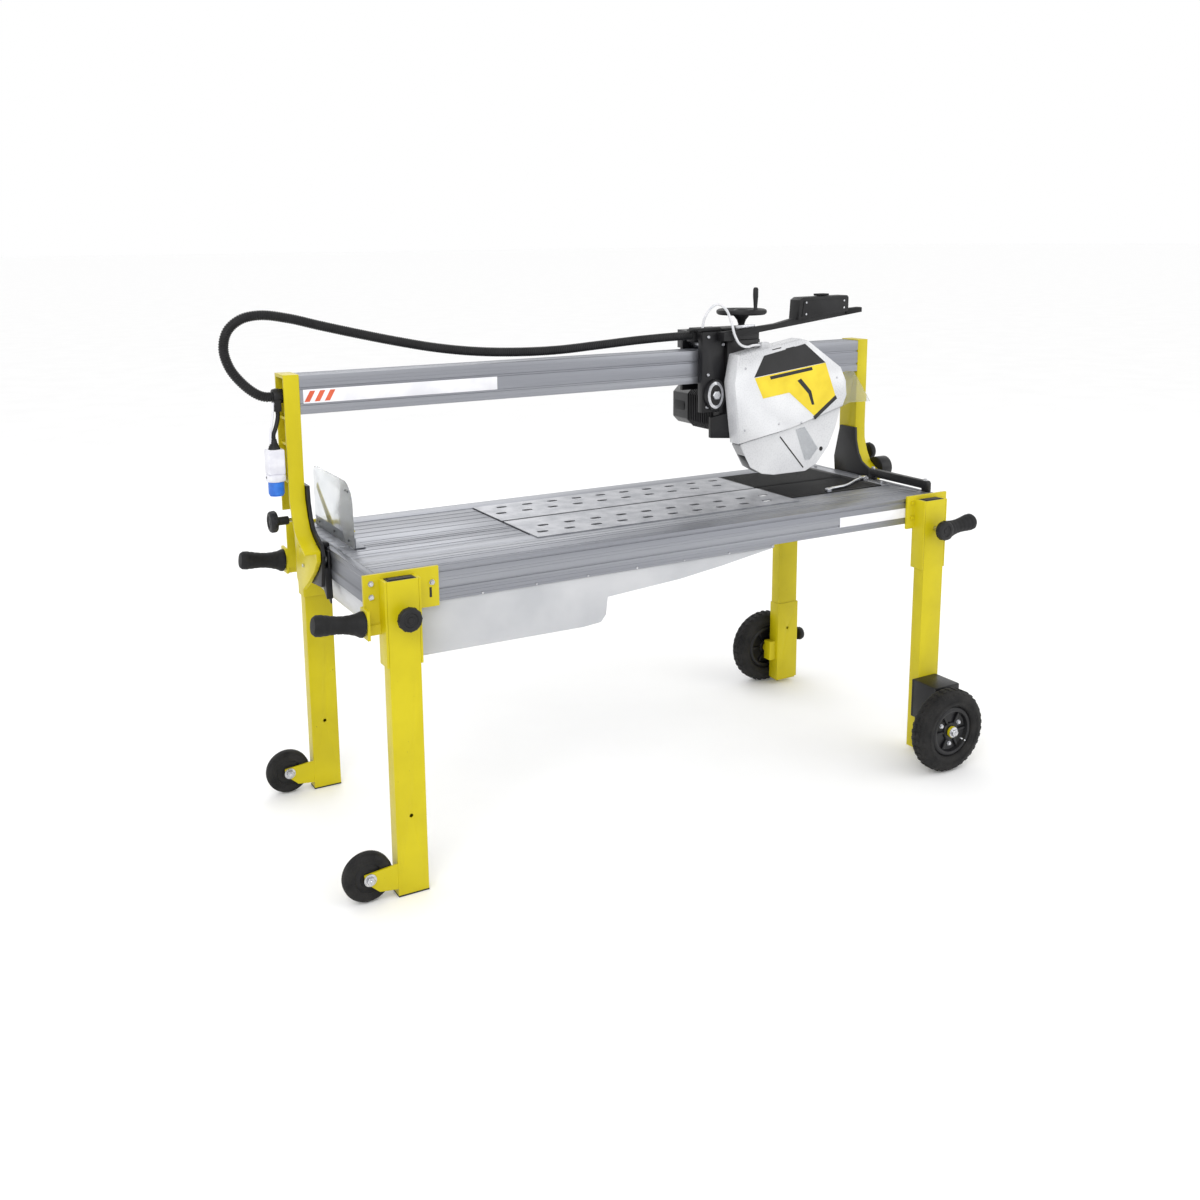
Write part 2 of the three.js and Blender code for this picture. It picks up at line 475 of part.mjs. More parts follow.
function cuttingHead() {
  const headY = [424, CARRIAGE.y0 - GAP];
  const housing = prism('y', [[1212, 976], [1300, 968], [1500, 985], [1522, 1030], [1500, 1075],
    [1392, 1130], [1392, 1272], [1270, 1272], [1270, 1048], [1212, 1040]], ...headY);
  part('drive_housing', cut(housing, round('y', BLADE.x, BLADE.z, 14.5, 420, 445, 24)), 'black');
  const m = MOTOR, h = m.half, c = 20;
  const body = prism('y', [[h - c, -h], [h, c - h], [h, h - c], [h - c, h], [c - h, h], [-h, h - c], [-h, c - h],
    [c - h, -h]].map(([x, z]) => [m.x + x, m.z + z]), m.y0, m.y1);
  part('motor', body, 'black');
  const b = BLADE, half = b.thick / 2;
  part('blade', prism('y', disc(b.x, b.z, b.r, 60).getPoints().slice(0, 60).map((p) => [p.x, p.y]),
    SLOT.y - half, SLOT.y + half, [disc(b.x, b.z, 12.7, 24)]), 'steel');
  part('arbor', turned('y', b.x, b.z, [[0, 383], [9, 383], [9, 391], [14, 391], [14, 394], [30, 396],
    [30, SLOT.y - half - GAP], [12.4, SLOT.y - half - GAP], [12.4, SLOT.y + half + GAP],
    [30, SLOT.y + half + GAP], [30, 415], [14, 417], [14, 439], [0, 439]], 24), 'steel');
  const bar = prism('y', [[1240, 1280], [1440, 1300], [1781, 1342], [1781, 1356], [1700, 1352],
    [1500, 1330], [1440, 1318], [1240, 1300]], 402, 423.4);
  const root1 = box(1240, 1300, 402, 438, 1273, 1299);
  const boxOutline = [[1512, 1328], [1700, 1346], [1712, 1350], [1712, 1392], [1706, 1398], [1530, 1396],
    [1516, 1388]];
  part('operating_lever', join(bar, root1, prism('y', boxOutline, 388, 436)), 'black');
  part('power_switch', box(1600, 1640, 398, 426, 1398.3, 1405), 'rubber');
}

// ---- electrical conduit, mains lead and plug, water hose ----
const CONDUIT_ROUTE = [[-112.6, 1190], [-128, 1190], [-150, 1198], [-184, 1226], [-216, 1270], [-228, 1318],
  [-216, 1362], [-182, 1390], [-132, 1399], [-58, 1388], [17, 1368], [124, 1341], [235, 1315], [349, 1292],
  [468, 1276], [592, 1268], [720, 1267], [853, 1274], [990, 1282], [1100, 1286], [1160, 1287], [1187.4, 1287]];
const LEAD_ROUTE = [[-103, 487, 1151.4], [-103, 487, 1140], [-107, 484, 1124], [-113, 481, 1108],
  [-119, 480, 1093], [-119, 480, 1082.8]];
const HOSE_ROUTE = [[1197, 455, 1300.4], [1197, 454, 1315], [1200, 448, 1342], [1214, 437, 1372],
  [1232, 424, 1384], [1250, 408, 1368], [1262, 396, 1330], [1272, 391, 1290], [1290, 390, 1263],
  [1318, 392, 1253], [1345, 396, 1256], [1360, 398, 1256], [1371.6, 398, 1256]];

function cables() {
  part('conduit_gland', join(turned('x', CONDUIT.y, 1190, [[0, -112.3], [19, -112.3], [21, -104], [19, -92],
    [19, -86], [12, -86], [12, -60.3], [0, -60.3]], 16), box(-112, -95, 476, 500, 1152.3, 1182)), 'black');
  part('conduit', tube(CONDUIT_ROUTE.map(([x, z]) => [x, CONDUIT.y, z]), CONDUIT.r, 10, 64), 'rubber');
  part('mains_lead', tube(LEAD_ROUTE, LEAD.r, 10, 8), 'rubber');
  const plug = turned('z', -119, 480, [[0, 934], [21, 934], [21, 970], [24, 972], [26, 974], [25, 988],
    [24, 1056], [15, 1060], [8, 1082], [0, 1082]], 16);
  part('mains_plug', plug, 'blue');
  part('water_hose', tube(HOSE_ROUTE, 4, 8, 30), 'clear');
}

tableFrame();
deck();
tray();
splashPanel();
supports();
bridge();
carriage();
handwheel();
guard();
visor();
cuttingHead();
cables();

export default root;
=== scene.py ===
"""Looks of the bridge tile cutter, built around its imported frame.

Sizes are millimetres in the table frame: X along the table from the near left leg, Y back from the
front of the near legs, Z up from the floor. at() turns them into the row frame in metres.
"""
import json
import math

import bmesh
import bpy
from mathutils import Matrix, Vector

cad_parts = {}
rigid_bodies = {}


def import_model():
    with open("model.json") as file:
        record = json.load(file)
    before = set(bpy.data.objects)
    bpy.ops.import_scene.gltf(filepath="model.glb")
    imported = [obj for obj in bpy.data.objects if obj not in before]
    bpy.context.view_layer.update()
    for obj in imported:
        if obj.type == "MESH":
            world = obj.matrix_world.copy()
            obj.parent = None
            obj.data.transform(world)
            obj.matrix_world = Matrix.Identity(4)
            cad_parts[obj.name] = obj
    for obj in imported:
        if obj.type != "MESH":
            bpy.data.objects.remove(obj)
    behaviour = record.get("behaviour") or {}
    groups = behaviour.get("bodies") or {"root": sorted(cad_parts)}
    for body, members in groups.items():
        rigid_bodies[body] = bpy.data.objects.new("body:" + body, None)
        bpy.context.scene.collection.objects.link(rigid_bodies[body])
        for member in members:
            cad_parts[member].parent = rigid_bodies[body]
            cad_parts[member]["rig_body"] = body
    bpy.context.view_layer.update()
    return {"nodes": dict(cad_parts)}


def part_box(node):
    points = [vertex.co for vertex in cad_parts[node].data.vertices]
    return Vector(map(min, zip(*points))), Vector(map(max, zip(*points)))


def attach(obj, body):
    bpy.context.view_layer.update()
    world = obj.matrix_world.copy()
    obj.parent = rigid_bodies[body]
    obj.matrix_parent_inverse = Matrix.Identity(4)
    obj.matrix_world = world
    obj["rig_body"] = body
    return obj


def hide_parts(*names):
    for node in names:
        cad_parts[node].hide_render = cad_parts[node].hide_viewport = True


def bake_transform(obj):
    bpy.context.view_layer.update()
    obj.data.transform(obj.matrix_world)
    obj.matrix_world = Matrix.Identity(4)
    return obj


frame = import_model()

MM = 0.001
ORIGIN = Vector((869.2, 317.0, 0.0))
SHARP = math.radians(38)          # faces that meet at more than this keep a crisp line
ROUNDED = math.radians(25)        # edges that turn by more than this get a bevel


def at(x, y, z):
    """A point of the table frame, in the row frame and metres."""
    return (Vector((x, y, z)) - ORIGIN) * MM


def ends(node):
    """Lowest and highest corner of a CAD node, in the table frame."""
    low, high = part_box(node)
    return low / MM + ORIGIN, high / MM + ORIGIN


# ---- camera ----
def make_camera():
    camera = bpy.data.cameras.new("camera")
    camera.sensor_width = 36
    camera.lens = 36.65
    camera.shift_x = 0.01527
    camera.shift_y = -0.1085
    camera.clip_end = 200
    eye = bpy.data.objects.new("camera", camera)
    right = Vector((0.8742, -0.4854, -0.0091))
    up = Vector((0.0985, 0.1591, 0.9823))
    back = -Vector((0.4754, 0.8597, -0.1869))
    turn = Matrix((right, up, back)).transposed().to_4x4()
    eye.matrix_world = Matrix.Translation((-1.7988, -2.9420, 1.5858)) @ turn
    bpy.context.scene.collection.objects.link(eye)
    bpy.context.scene.camera = eye


make_camera()


# ---- materials ----
def linear(colour):
    """An sRGB hex value as a linear colour with alpha."""
    parts = [((colour >> shift) & 255) / 255 for shift in (16, 8, 0)]
    return [c / 12.92 if c <= 0.04045 else ((c + 0.055) / 1.055) ** 2.4 for c in parts] + [1.0]


def add(tree, kind, inputs=None, **settings):
    """A node with its settings, and its inputs set to a value or linked to a socket."""
    made = tree.nodes.new(kind)
    for name, value in settings.items():
        setattr(made, name, value)
    for name, value in (inputs or {}).items():
        if isinstance(value, bpy.types.NodeSocket):
            tree.links.new(value, made.inputs[name])
        else:
            made.inputs[name].default_value = value
    return made


def new_finish(name, **shader):
    material = bpy.data.materials.new(name)
    material.use_nodes = True
    tree = material.node_tree
    tree.nodes.clear()
    surface = add(tree, "ShaderNodeBsdfPrincipled", shader)
    add(tree, "ShaderNodeOutputMaterial", {"Surface": surface.outputs[0]})
    return material, tree, surface


def pattern(tree, size, stretch=(1, 1, 1), detail=3.0):
    """Noise whose grain is size millimetres, drawn out along an axis by stretch."""
    place = add(tree, "ShaderNodeTexCoord").outputs["Object"]
    spread = add(tree, "ShaderNodeMapping", {"Vector": place, "Scale": [1 / s for s in stretch]})
    noise = {"Vector": spread.outputs[0], "Scale": 1000 / size, "Detail": detail}
    return add(tree, "ShaderNodeTexNoise", noise).outputs["Fac"]


def between(tree, factor, low, high, a, b):
    """Runs from value a to b as factor goes from low to high."""
    limits = {"Value": factor, "From Min": low, "From Max": high, "To Min": a, "To Max": b}
    return add(tree, "ShaderNodeMapRange", limits).outputs[0]


def blended(tree, factor, a, b):
    """Mixes colour a (or its socket) with colour b by factor."""
    first = a if isinstance(a, bpy.types.NodeSocket) else linear(a)
    made = add(tree, "ShaderNodeMix", {0: factor, 6: first, 7: linear(b)}, data_type="RGBA")
    return made.outputs[2]


def coated(name, light, dark, rough, size, relief, patch=140, stretch=(1, 1, 1), **shader):
    """Colour drifts between two shades over patches, and fine grain gives roughness and relief in mm."""
    material, tree, surface = new_finish(name, **shader)
    drift = pattern(tree, patch, stretch)
    tint = blended(tree, between(tree, drift, 0.35, 0.65, 0, 1), light, dark)
    tree.links.new(tint, surface.inputs["Base Color"])
    grain = pattern(tree, size, stretch, 2.0)
    tree.links.new(between(tree, grain, 0.3, 0.7, rough[0], rough[1]), surface.inputs["Roughness"])
    bump = add(tree, "ShaderNodeBump", {"Height": grain, "Distance": relief * MM, "Strength": 1.0})
    tree.links.new(bump.outputs[0], surface.inputs["Normal"])
    return material, tree, surface, tint


def scuffed(made, mark, size, share):
    """Adds sparse marks of another colour to a finish made by coated()."""
    material, tree, surface, tint = made
    spots = between(tree, pattern(tree, size, (1, 1, 2), 6.0), 1 - share, 1 - share + 0.03, 0, 0.8)
    tree.links.new(blended(tree, spots, tint, mark), surface.inputs["Base Color"])
    return material


def plain(*args, **shader):
    return coated(*args, **shader)[0]


# Powder-coated steel: baked yellow paint with a slight orange peel, drawn at 4 mm, and small scuffs.
YELLOW = scuffed(coated("powder_coated_steel", 0xC9BA0C, 0xBDAE08, (0.32, 0.44), 4, 0.05,
                        **{"Specular IOR Level": 0.3}), 0x857A22, 7, 0.28)
# Anodised aluminium: satin grey with fine die lines along the extrusion, drawn 2 mm apart.
ALUMINIUM = plain("anodised_aluminium", 0x9C9EA4, 0x8A8C93, (0.34, 0.5), 2, 0.02, 60, (60, 1, 1),
                  Metallic=0.8)
# The same metal cut across the table, so its die lines run along Y; its colours are darker than the
# aluminium above, painted shade on these faces.
SHADED_ALUMINIUM_ACROSS = plain("anodised_aluminium_across", 0x85878D, 0x74767C, (0.34, 0.5), 2, 0.02, 60,
                         (1, 60, 1), Metallic=0.8)
# Zinc-plated sheet: bright, with faint clouding from the plating bath.
ZINC = plain("zinc_plated_sheet", 0xAFB0B5, 0x94969C, (0.3, 0.46), 3, 0.01, 45, Metallic=0.75)
# Zinc-plated fasteners: small bright heads.
BOLT = plain("zinc_plated_steel", 0xD2D3D6, 0xB2B3B8, (0.18, 0.34), 2, 0.01, 8, Metallic=1.0)
# Black enamelled steel: semi-gloss with dust in the corners.
ENAMEL = plain("black_enamelled_steel", 0x0E0E10, 0x19191C, (0.3, 0.46), 3, 0.02, 80,
               **{"Specular IOR Level": 0.35})
# Moulded black nylon with spark-eroded texture, drawn at 1.2 mm.
NYLON = plain("moulded_black_nylon", 0x0D0D0F, 0x18181A, (0.42, 0.6), 1.2, 0.05, 60,
              **{"Specular IOR Level": 0.35})
# Soft black rubber of the grips and pads.
RUBBER = plain("grip_rubber", 0x0F0F10, 0x1A1A1C, (0.55, 0.75), 1.5, 0.08, 50, **{"Specular IOR Level": 0.3})
# Tyre rubber: matt, greyed by dust on the tread.
TYRE = plain("tyre_rubber", 0x111112, 0x232221, (0.6, 0.85), 2.5, 0.12, 40, **{"Specular IOR Level": 0.3})
# Glossy white ABS of the guard.
ABS = plain("white_abs", 0xDEDFE1, 0xD2D3D6, (0.22, 0.36), 5, 0.02, 120, **{"Coat Weight": 0.15})
# Ground tool steel with fine circular wear, and the sintered rim of the blade.
STEEL = plain("ground_tool_steel", 0xC0C2C6, 0xA4A6AB, (0.22, 0.4), 1.5, 0.01, 30, Metallic=1.0)
SEGMENT = plain("sintered_diamond", 0x8A857A, 0x69655C, (0.6, 0.85), 1.0, 0.12, 12, Metallic=0.6)
# Chromed rod.
CHROME = plain("chromed_rod", 0xDCDDE0, 0xC6C8CC, (0.08, 0.16), 4, 0.002, 50, Metallic=1.0)
# Natural polyethylene of the tray: milky, lets some light through.
POLYTHENE = plain("natural_polyethylene", 0xD3D4D7, 0xC2C4C8, (0.34, 0.48), 3, 0.03, 160,
                  **{"Transmission Weight": 0.2, "IOR": 1.5})
# Clear polycarbonate, dulled by slurry.
CLEAR = plain("clear_polycarbonate", 0xEFF1F3, 0xE2E5E8, (0.1, 0.24), 6, 0.003, 70,
              **{"Transmission Weight": 0.88, "IOR": 1.08})
# Silicone water hose, milky.
SILICONE = plain("silicone_hose", 0xF2F2F4, 0xE0E2E6, (0.25, 0.4), 3, 0.01, 30,
                 **{"Transmission Weight": 0.2, "IOR": 1.43})
# Black polyamide conduit and the black lead.
POLYAMIDE = plain("black_polyamide_conduit", 0x0C0C0E, 0x161618, (0.4, 0.55), 1.5, 0.03, 40,
                  **{"Specular IOR Level": 0.35})
# Plug moulded in pale grey nylon, with the blue collar of a 230 V plug.
PALE_NYLON = plain("pale_grey_nylon", 0xE4E4EA, 0xD2D2DB, (0.34, 0.48), 1.5, 0.03, 30)
BLUE_NYLON = plain("blue_nylon", 0x2E78DA, 0x2264C4, (0.34, 0.48), 1.5, 0.03, 20)
# Vinyl labels, with no lettering.
VINYL = plain("white_vinyl", 0xF0F0F3, 0xE2E2E7, (0.3, 0.42), 3, 0.005, 60)
RED_VINYL = plain("red_vinyl", 0xD9633F, 0xC95232, (0.3, 0.42), 3, 0.005, 60)
YELLOW_VINYL = plain("yellow_vinyl", 0xEFD626, 0xE4C81A, (0.28, 0.4), 3, 0.005, 60)
BLACK_VINYL = plain("black_vinyl", 0x0B0B0C, 0x141416, (0.28, 0.4), 3, 0.005, 60)
# Painted shade: a dark colour that stands for the shade in the hollows of holes, slots and vents, and for
# the shade under the deck plates.
SHADOW = plain("bare_steel_hole", 0x1E1E1C, 0x141413, (0.6, 0.8), 2, 0.02, 20)


# ---- solids, in table-frame millimetres ----
def prism(axis, outline, low, high):
    """An outline of (y, z), (x, z) or (x, y) swept along the named axis."""
    spot = {"x": lambda u, v, w: (w, u, v), "y": lambda u, v, w: (u, w, v),
            "z": lambda u, v, w: (u, v, w)}[axis]
    part = bmesh.new()
    first = [part.verts.new(spot(u, v, low)) for u, v in outline]
    last = [part.verts.new(spot(u, v, high)) for u, v in outline]
    part.faces.new(first)
    part.faces.new(last)
    for i in range(len(outline)):
        part.faces.new((first[i - 1], first[i], last[i], last[i - 1]))
    return part


def block(x0, x1, y0, y1, z0, z1):
    return prism("z", [(x0, y0), (x1, y0), (x1, y1), (x0, y1)], z0, z1)


def turned(start, direction, profile, sides=48):
    """A round solid: (radius, distance) points turned about a line from start."""
    part = bmesh.new()
    start = Vector(start)
    turn = Vector(direction).to_track_quat("Z", "Y").to_matrix()
    closed = profile[0] == profile[-1]
    rings = []
    for radius, distance in profile[:-1] if closed else profile:
        if radius < 1e-6:
            rings.append([part.verts.new(start + turn @ Vector((0, 0, distance)))])
            continue
        angles = [2 * math.pi * i / sides for i in range(sides)]
        rings.append([part.verts.new(start + turn @ Vector((radius * math.cos(a), radius * math.sin(a),
                                                            distance))) for a in angles])
    pairs = list(zip(rings, rings[1:]))
    if closed:
        pairs.append((rings[-1], rings[0]))
    for a, b in pairs:
        for i in range(sides):
            j = (i + 1) % sides
            corners = [a[i % len(a)], a[j % len(a)], b[j % len(b)], b[i % len(b)]]
            part.faces.new(list(dict.fromkeys(corners)))
    return part


def rod(a, b, radius, sides=24, edge=0.0):
    """A round bar from a to b, with its ends chamfered by edge."""
    length = (Vector(b) - Vector(a)).length
    profile = [(0, 0), (radius, 0), (radius, length), (0, length)]
    if edge:
        profile[1:3] = [(radius - edge, 0), (radius, edge), (radius, length - edge), (radius - edge, length)]
    return turned(a, Vector(b) - Vector(a), profile, sides)


def smooth_route(points, steps):
    """Points of a centripetal Catmull-Rom curve through the given ones, steps to a stretch."""
    knots = [Vector(p) for p in points]
    knots = [2 * knots[0] - knots[1]] + knots + [2 * knots[-1] - knots[-2]]
    route = []
    for p0, p1, p2, p3 in zip(knots, knots[1:], knots[2:], knots[3:]):
        t0 = 0.0
        t1 = t0 + math.sqrt((p1 - p0).length)
        t2 = t1 + math.sqrt((p2 - p1).length)
        t3 = t2 + math.sqrt((p3 - p2).length)
        for i in range(steps):
            t = t1 + (t2 - t1) * i / steps
            a1 = p0.lerp(p1, (t - t0) / (t1 - t0))
            a2 = p1.lerp(p2, (t - t1) / (t2 - t1))
            a3 = p2.lerp(p3, (t - t2) / (t3 - t2))
            b1 = a1.lerp(a2, (t - t0) / (t2 - t0))
            b2 = a2.lerp(a3, (t - t1) / (t3 - t1))
            route.append(b1.lerp(b2, (t - t1) / (t2 - t1)))
    return route + [knots[-2]]


def length_of(route):
    return sum((b - a).length for a, b in zip(route, route[1:]))


def spaced(route, gap):
    """The same route with points a fixed gap apart."""
    total = length_of(route)
    count = max(2, round(total / gap))
    out, wanted, run = [route[0]], total / count, 0.0
    step = wanted
    for a, b in zip(route, route[1:]):
        length = (b - a).length
        while run + length >= step and len(out) < count:
            out.append(a.lerp(b, (step - run) / length))
            step += wanted
        run += length
    return out + [route[-1]]


def tube(route, radii, sides=20):
    """A round tube along a route, whose radius runs through radii over and over."""
    part = bmesh.new()
    side = Vector((0, 1, 0))
    rings = []
    for i, point in enumerate(route):
        ahead = (route[min(i + 1, len(route) - 1)] - route[max(i - 1, 0)]).normalized()
        side = (side - ahead * side.dot(ahead)).normalized()
        other = ahead.cross(side)
        radius = radii[i % len(radii)]
        angles = [2 * math.pi * k / sides for k in range(sides)]
        spokes = [side * math.cos(a) + other * math.sin(a) for a in angles]
        rings.append([part.verts.new(point + spoke * radius) for spoke in spokes])
    for a, b in zip(rings, rings[1:]):
        for k in range(sides):
            part.faces.new((a[k - 1], a[k], b[k], b[k - 1]))
    part.faces.new(rings[0])
    part.faces.new(rings[-1])
    return part


def turns(edge):
    return len(edge.link_faces) == 2 and edge.calc_face_angle(0) > ROUNDED


def soften_edges(part, width, segments=2):
    """Rounds every edge that turns sharply."""
    edges = [e for e in part.edges if turns(e)]
    bmesh.ops.bevel(part, geom=edges, offset=width, segments=segments, profile=0.5, affect="EDGES",
                    clamp_overlap=True)


def kept(part, name):
    """The solid as a mesh of that name."""
    mesh = bpy.data.meshes.new(name)
    part.to_mesh(mesh)
    part.free()
    return mesh


def stood(mesh):
    """An object of the mesh, under the mesh's name."""
    made = bpy.data.objects.new(mesh.name, mesh)
    bpy.context.scene.collection.objects.link(made)
    return made


class Piece:
    """A piece in the making: solids in table-frame millimetres, each in one finish."""

    def __init__(self, name, finish):
        self.name = name
        self.mesh = bmesh.new()
        self.finishes = [finish]

    def add(self, part, bevel=0.0, finish=None, segments=2):
        finish = finish or self.finishes[0]
        if finish not in self.finishes:
            self.finishes.append(finish)
        bmesh.ops.recalc_face_normals(part, faces=part.faces)
        if bevel:
            soften_edges(part, bevel, segments)
        for face in part.faces:
            face.smooth = True
            face.material_index = self.finishes.index(finish)
        loose = kept(part, "part")
        self.mesh.from_mesh(loose)
        bpy.data.meshes.remove(loose)
        return self

    def shape(self):
        """The piece as an object in the row frame."""
        for vertex in self.mesh.verts:
            vertex.co = at(*vertex.co)
        mesh = kept(self.mesh, self.name)
        mesh.set_sharp_from_angle(angle=SHARP)
        for finish in self.finishes:
            mesh.materials.append(finish)
        return stood(mesh)

    def done(self, body, slot, *nodes):
        """Puts the piece on a body, in place of the CAD nodes it stands for."""
        return settled(self.shape(), body, slot, *nodes)


def settled(made, body, slot, *nodes):
    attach(made, body)
    if nodes:
        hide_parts(*nodes)
    return made


def merged(node):
    """A copy of a CAD node's shape, closed and with its flat faces whole."""
    part = bmesh.new()
    part.from_mesh(frame["nodes"][node].data)
    bmesh.ops.remove_doubles(part, verts=part.verts, dist=1e-5)
    bmesh.ops.dissolve_limit(part, angle_limit=math.radians(1.5), verts=part.verts, edges=part.edges)
    return part


def rounded(node, finish, slot, width, wide=(), segments=2):
    """The CAD node's own shape with rounded edges. wide has (test, width) pairs for wider chamfers."""
    part = merged(node)
    for test, size in wide:
        chosen = [e for e in part.edges if turns(e) and all(test(v.co / MM + ORIGIN) for v in e.verts)]
        bmesh.ops.bevel(part, geom=chosen, offset=size * MM, segments=1, affect="EDGES", clamp_overlap=True)
    soften_edges(part, width * MM, segments)
    for face in part.faces:
        face.smooth = True
        face.material_index = 0
    mesh = kept(part, node + "_finished")
    mesh.set_sharp_from_angle(angle=SHARP)
    mesh.materials.append(finish)
    return settled(stood(mesh), frame["nodes"][node]["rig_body"], slot, node)


# ---- node trees that make what repeats ----
def new_tree(name, sockets):
    tree = bpy.data.node_groups.new(name, "GeometryNodeTree")
    tree.interface.new_socket("Geometry", in_out="INPUT", socket_type="NodeSocketGeometry")
    for label, kind in sockets:
        tree.interface.new_socket(label, in_out="INPUT", socket_type="NodeSocket" + kind)
    tree.interface.new_socket("Geometry", in_out="OUTPUT", socket_type="NodeSocketGeometry")
    return tree, add(tree, "NodeGroupInput").outputs


def end_tree(tree, instances, finish):
    """Every tree ends in real geometry in one finish."""
    real = add(tree, "GeometryNodeRealizeInstances", {"Geometry": instances})
    painted = add(tree, "GeometryNodeSetMaterial", {"Geometry": real.outputs[0], "Material": finish})
    add(tree, "NodeGroupOutput", {0: painted.outputs[0]})
    return tree


def row_tree():
    """Copies of one shape, each a step further along and a turn further round."""
    tree, given = new_tree("row_of_copies", [("Count", "Int"), ("Step", "Vector"), ("Turn", "Vector"),
                                             ("Centre", "Vector"), ("Material", "Material")])
    back = add(tree, "ShaderNodeVectorMath", {0: given["Centre"], 1: (-1, -1, -1)}, operation="MULTIPLY")
    centred = {"Geometry": given["Geometry"], "Translation": back.outputs[0]}
    shape = add(tree, "GeometryNodeTransform", centred)
    line = {"Count": given["Count"], "Start Location": given["Centre"], "Offset": given["Step"]}
    points = add(tree, "GeometryNodeMeshLine", line, mode="OFFSET")
    index = add(tree, "GeometryNodeInputIndex").outputs[0]
    angle = add(tree, "ShaderNodeVectorMath", {0: given["Turn"], "Scale": index}, operation="SCALE")
    placed = {"Points": points.outputs[0], "Instance": shape.outputs[0], "Rotation": angle.outputs[0]}
    copies = add(tree, "GeometryNodeInstanceOnPoints", placed)
    return end_tree(tree, copies.outputs[0], given["Material"])


def fastener_tree():
    """One head on every point, standing along the point's facing direction."""
    tree, given = new_tree("fasteners_on_points", [("Head", "Object"), ("Material", "Material")])
    facing = add(tree, "GeometryNodeInputNamedAttribute", {"Name": "facing"}, data_type="FLOAT_VECTOR")
    turn = add(tree, "FunctionNodeAlignRotationToVector", {"Vector": facing.outputs[0]}, axis="Z")
    head = add(tree, "GeometryNodeObjectInfo", {"Object": given["Head"]})
    placed = {"Points": given["Geometry"], "Instance": head.outputs["Geometry"], "Rotation": turn.outputs[0]}
    copies = add(tree, "GeometryNodeInstanceOnPoints", placed)
    return end_tree(tree, copies.outputs[0], given["Material"])


def perforation_tree():
    """A plate with a slot cut through it at every point."""
    tree, given = new_tree("perforated_plate", [("Plate", "Object"), ("Cutter", "Object"),
                                                ("Material", "Material")])
    cutter = add(tree, "GeometryNodeObjectInfo", {"Object": given["Cutter"]})
    plate = add(tree, "GeometryNodeObjectInfo", {"Object": given["Plate"]})
    placed = {"Points": given["Geometry"], "Instance": cutter.outputs["Geometry"]}
    cutters = add(tree, "GeometryNodeInstanceOnPoints", placed)
    real = add(tree, "GeometryNodeRealizeInstances", {"Geometry": cutters.outputs[0]})
    cut = add(tree, "GeometryNodeMeshBoolean", {0: plate.outputs["Geometry"], 1: real.outputs[0]},
              operation="DIFFERENCE", solver="EXACT")
    return end_tree(tree, cut.outputs[0], given["Material"])


ROW = row_tree()
FASTENERS = fastener_tree()
PERFORATED = perforation_tree()


def grown(made, tree, values):
    """Runs a node tree on an object and keeps what it makes as a plain mesh."""
    modifier = made.modifiers.new("grow", "NODES")
    modifier.node_group = tree
    for item in tree.interface.items_tree:
        if item.in_out == "INPUT" and item.name in values:
            modifier[item.identifier] = values[item.name]
    depsgraph = bpy.context.evaluated_depsgraph_get()
    mesh = bpy.data.meshes.new_from_object(made.evaluated_get(depsgraph), depsgraph=depsgraph)
    made.modifiers.remove(modifier)
    made.data = mesh
    for polygon in mesh.polygons:
        polygon.use_smooth = True
    mesh.set_sharp_from_angle(angle=SHARP)
    return made


def repeated(piece, count, step=(0, 0, 0), turn=(0, 0, 0), centre=(0, 0, 0)):
    """The piece's shape, count times, stepped in mm and turned about centre."""
    values = {"Count": count, "Step": list(Vector(step) * MM), "Turn": list(turn),
              "Centre": list(at(*centre)), "Material": piece.finishes[0]}
    return grown(piece.shape(), ROW, values)


HELPERS = []


def helper(part, name):
    """A shape that a node tree uses, removed at the end."""
    made = stood(kept(part, name))
    HELPERS.append(made)
    return made


def head_shape(name, profile, sides, recess=0.0):
    """A fastener head standing on the origin, with a hexagon recess if it has one."""
    part = turned((0, 0, 0), (0, 0, 1), profile, sides)
    bmesh.ops.scale(part, vec=(MM, MM, MM), verts=part.verts)
    if recess:
        top = max(v.co.z for v in part.verts)
        lid = [f for f in part.faces if all(abs(v.co.z - top) < 1e-7 for v in f.verts)]
        bmesh.ops.inset_region(part, faces=lid, thickness=recess * MM)
        floor = {v for f in lid for v in f.verts}
        bmesh.ops.translate(part, verts=list(floor), vec=(0, 0, -RECESS_DEPTH * MM))
    bmesh.ops.recalc_face_normals(part, faces=part.faces)
    return helper(part, name)


RECESS_DEPTH = 2.5
HEX_HEAD = head_shape("hex_head", [(0, 0), (7.5, 0), (7.5, 1.2), (6, 1.2), (6, 5), (5.2, 5.8), (0, 5.8)], 6)
WIDE_HEAD = head_shape("wide_head", [(0, 0), (10, 0), (10, 1.6), (7.6, 1.6), (7.6, 6.5), (6.6, 7.6),
                                     (0, 7.6)], 6)
CAP_HEAD = head_shape("cap_head", [(0, 0), (5, 0), (5, 4), (4.4, 4.6), (0, 4.6)], 18, 1.6)
PAN_HEAD = head_shape("pan_head", [(0, 0), (3.4, 0), (3.2, 1.2), (2.2, 2.0), (0, 2.3)], 14)
DIRECTIONS = {"-x": (-1, 0, 0), "+x": (1, 0, 0), "-y": (0, -1, 0), "+y": (0, 1, 0), "+z": (0, 0, 1)}


def points(name, spots):
    """A mesh of loose points for a node tree to stand copies on."""
    mesh = bpy.data.meshes.new(name)
    mesh.from_pydata([at(*spot) for spot in spots], [], [])
    return mesh


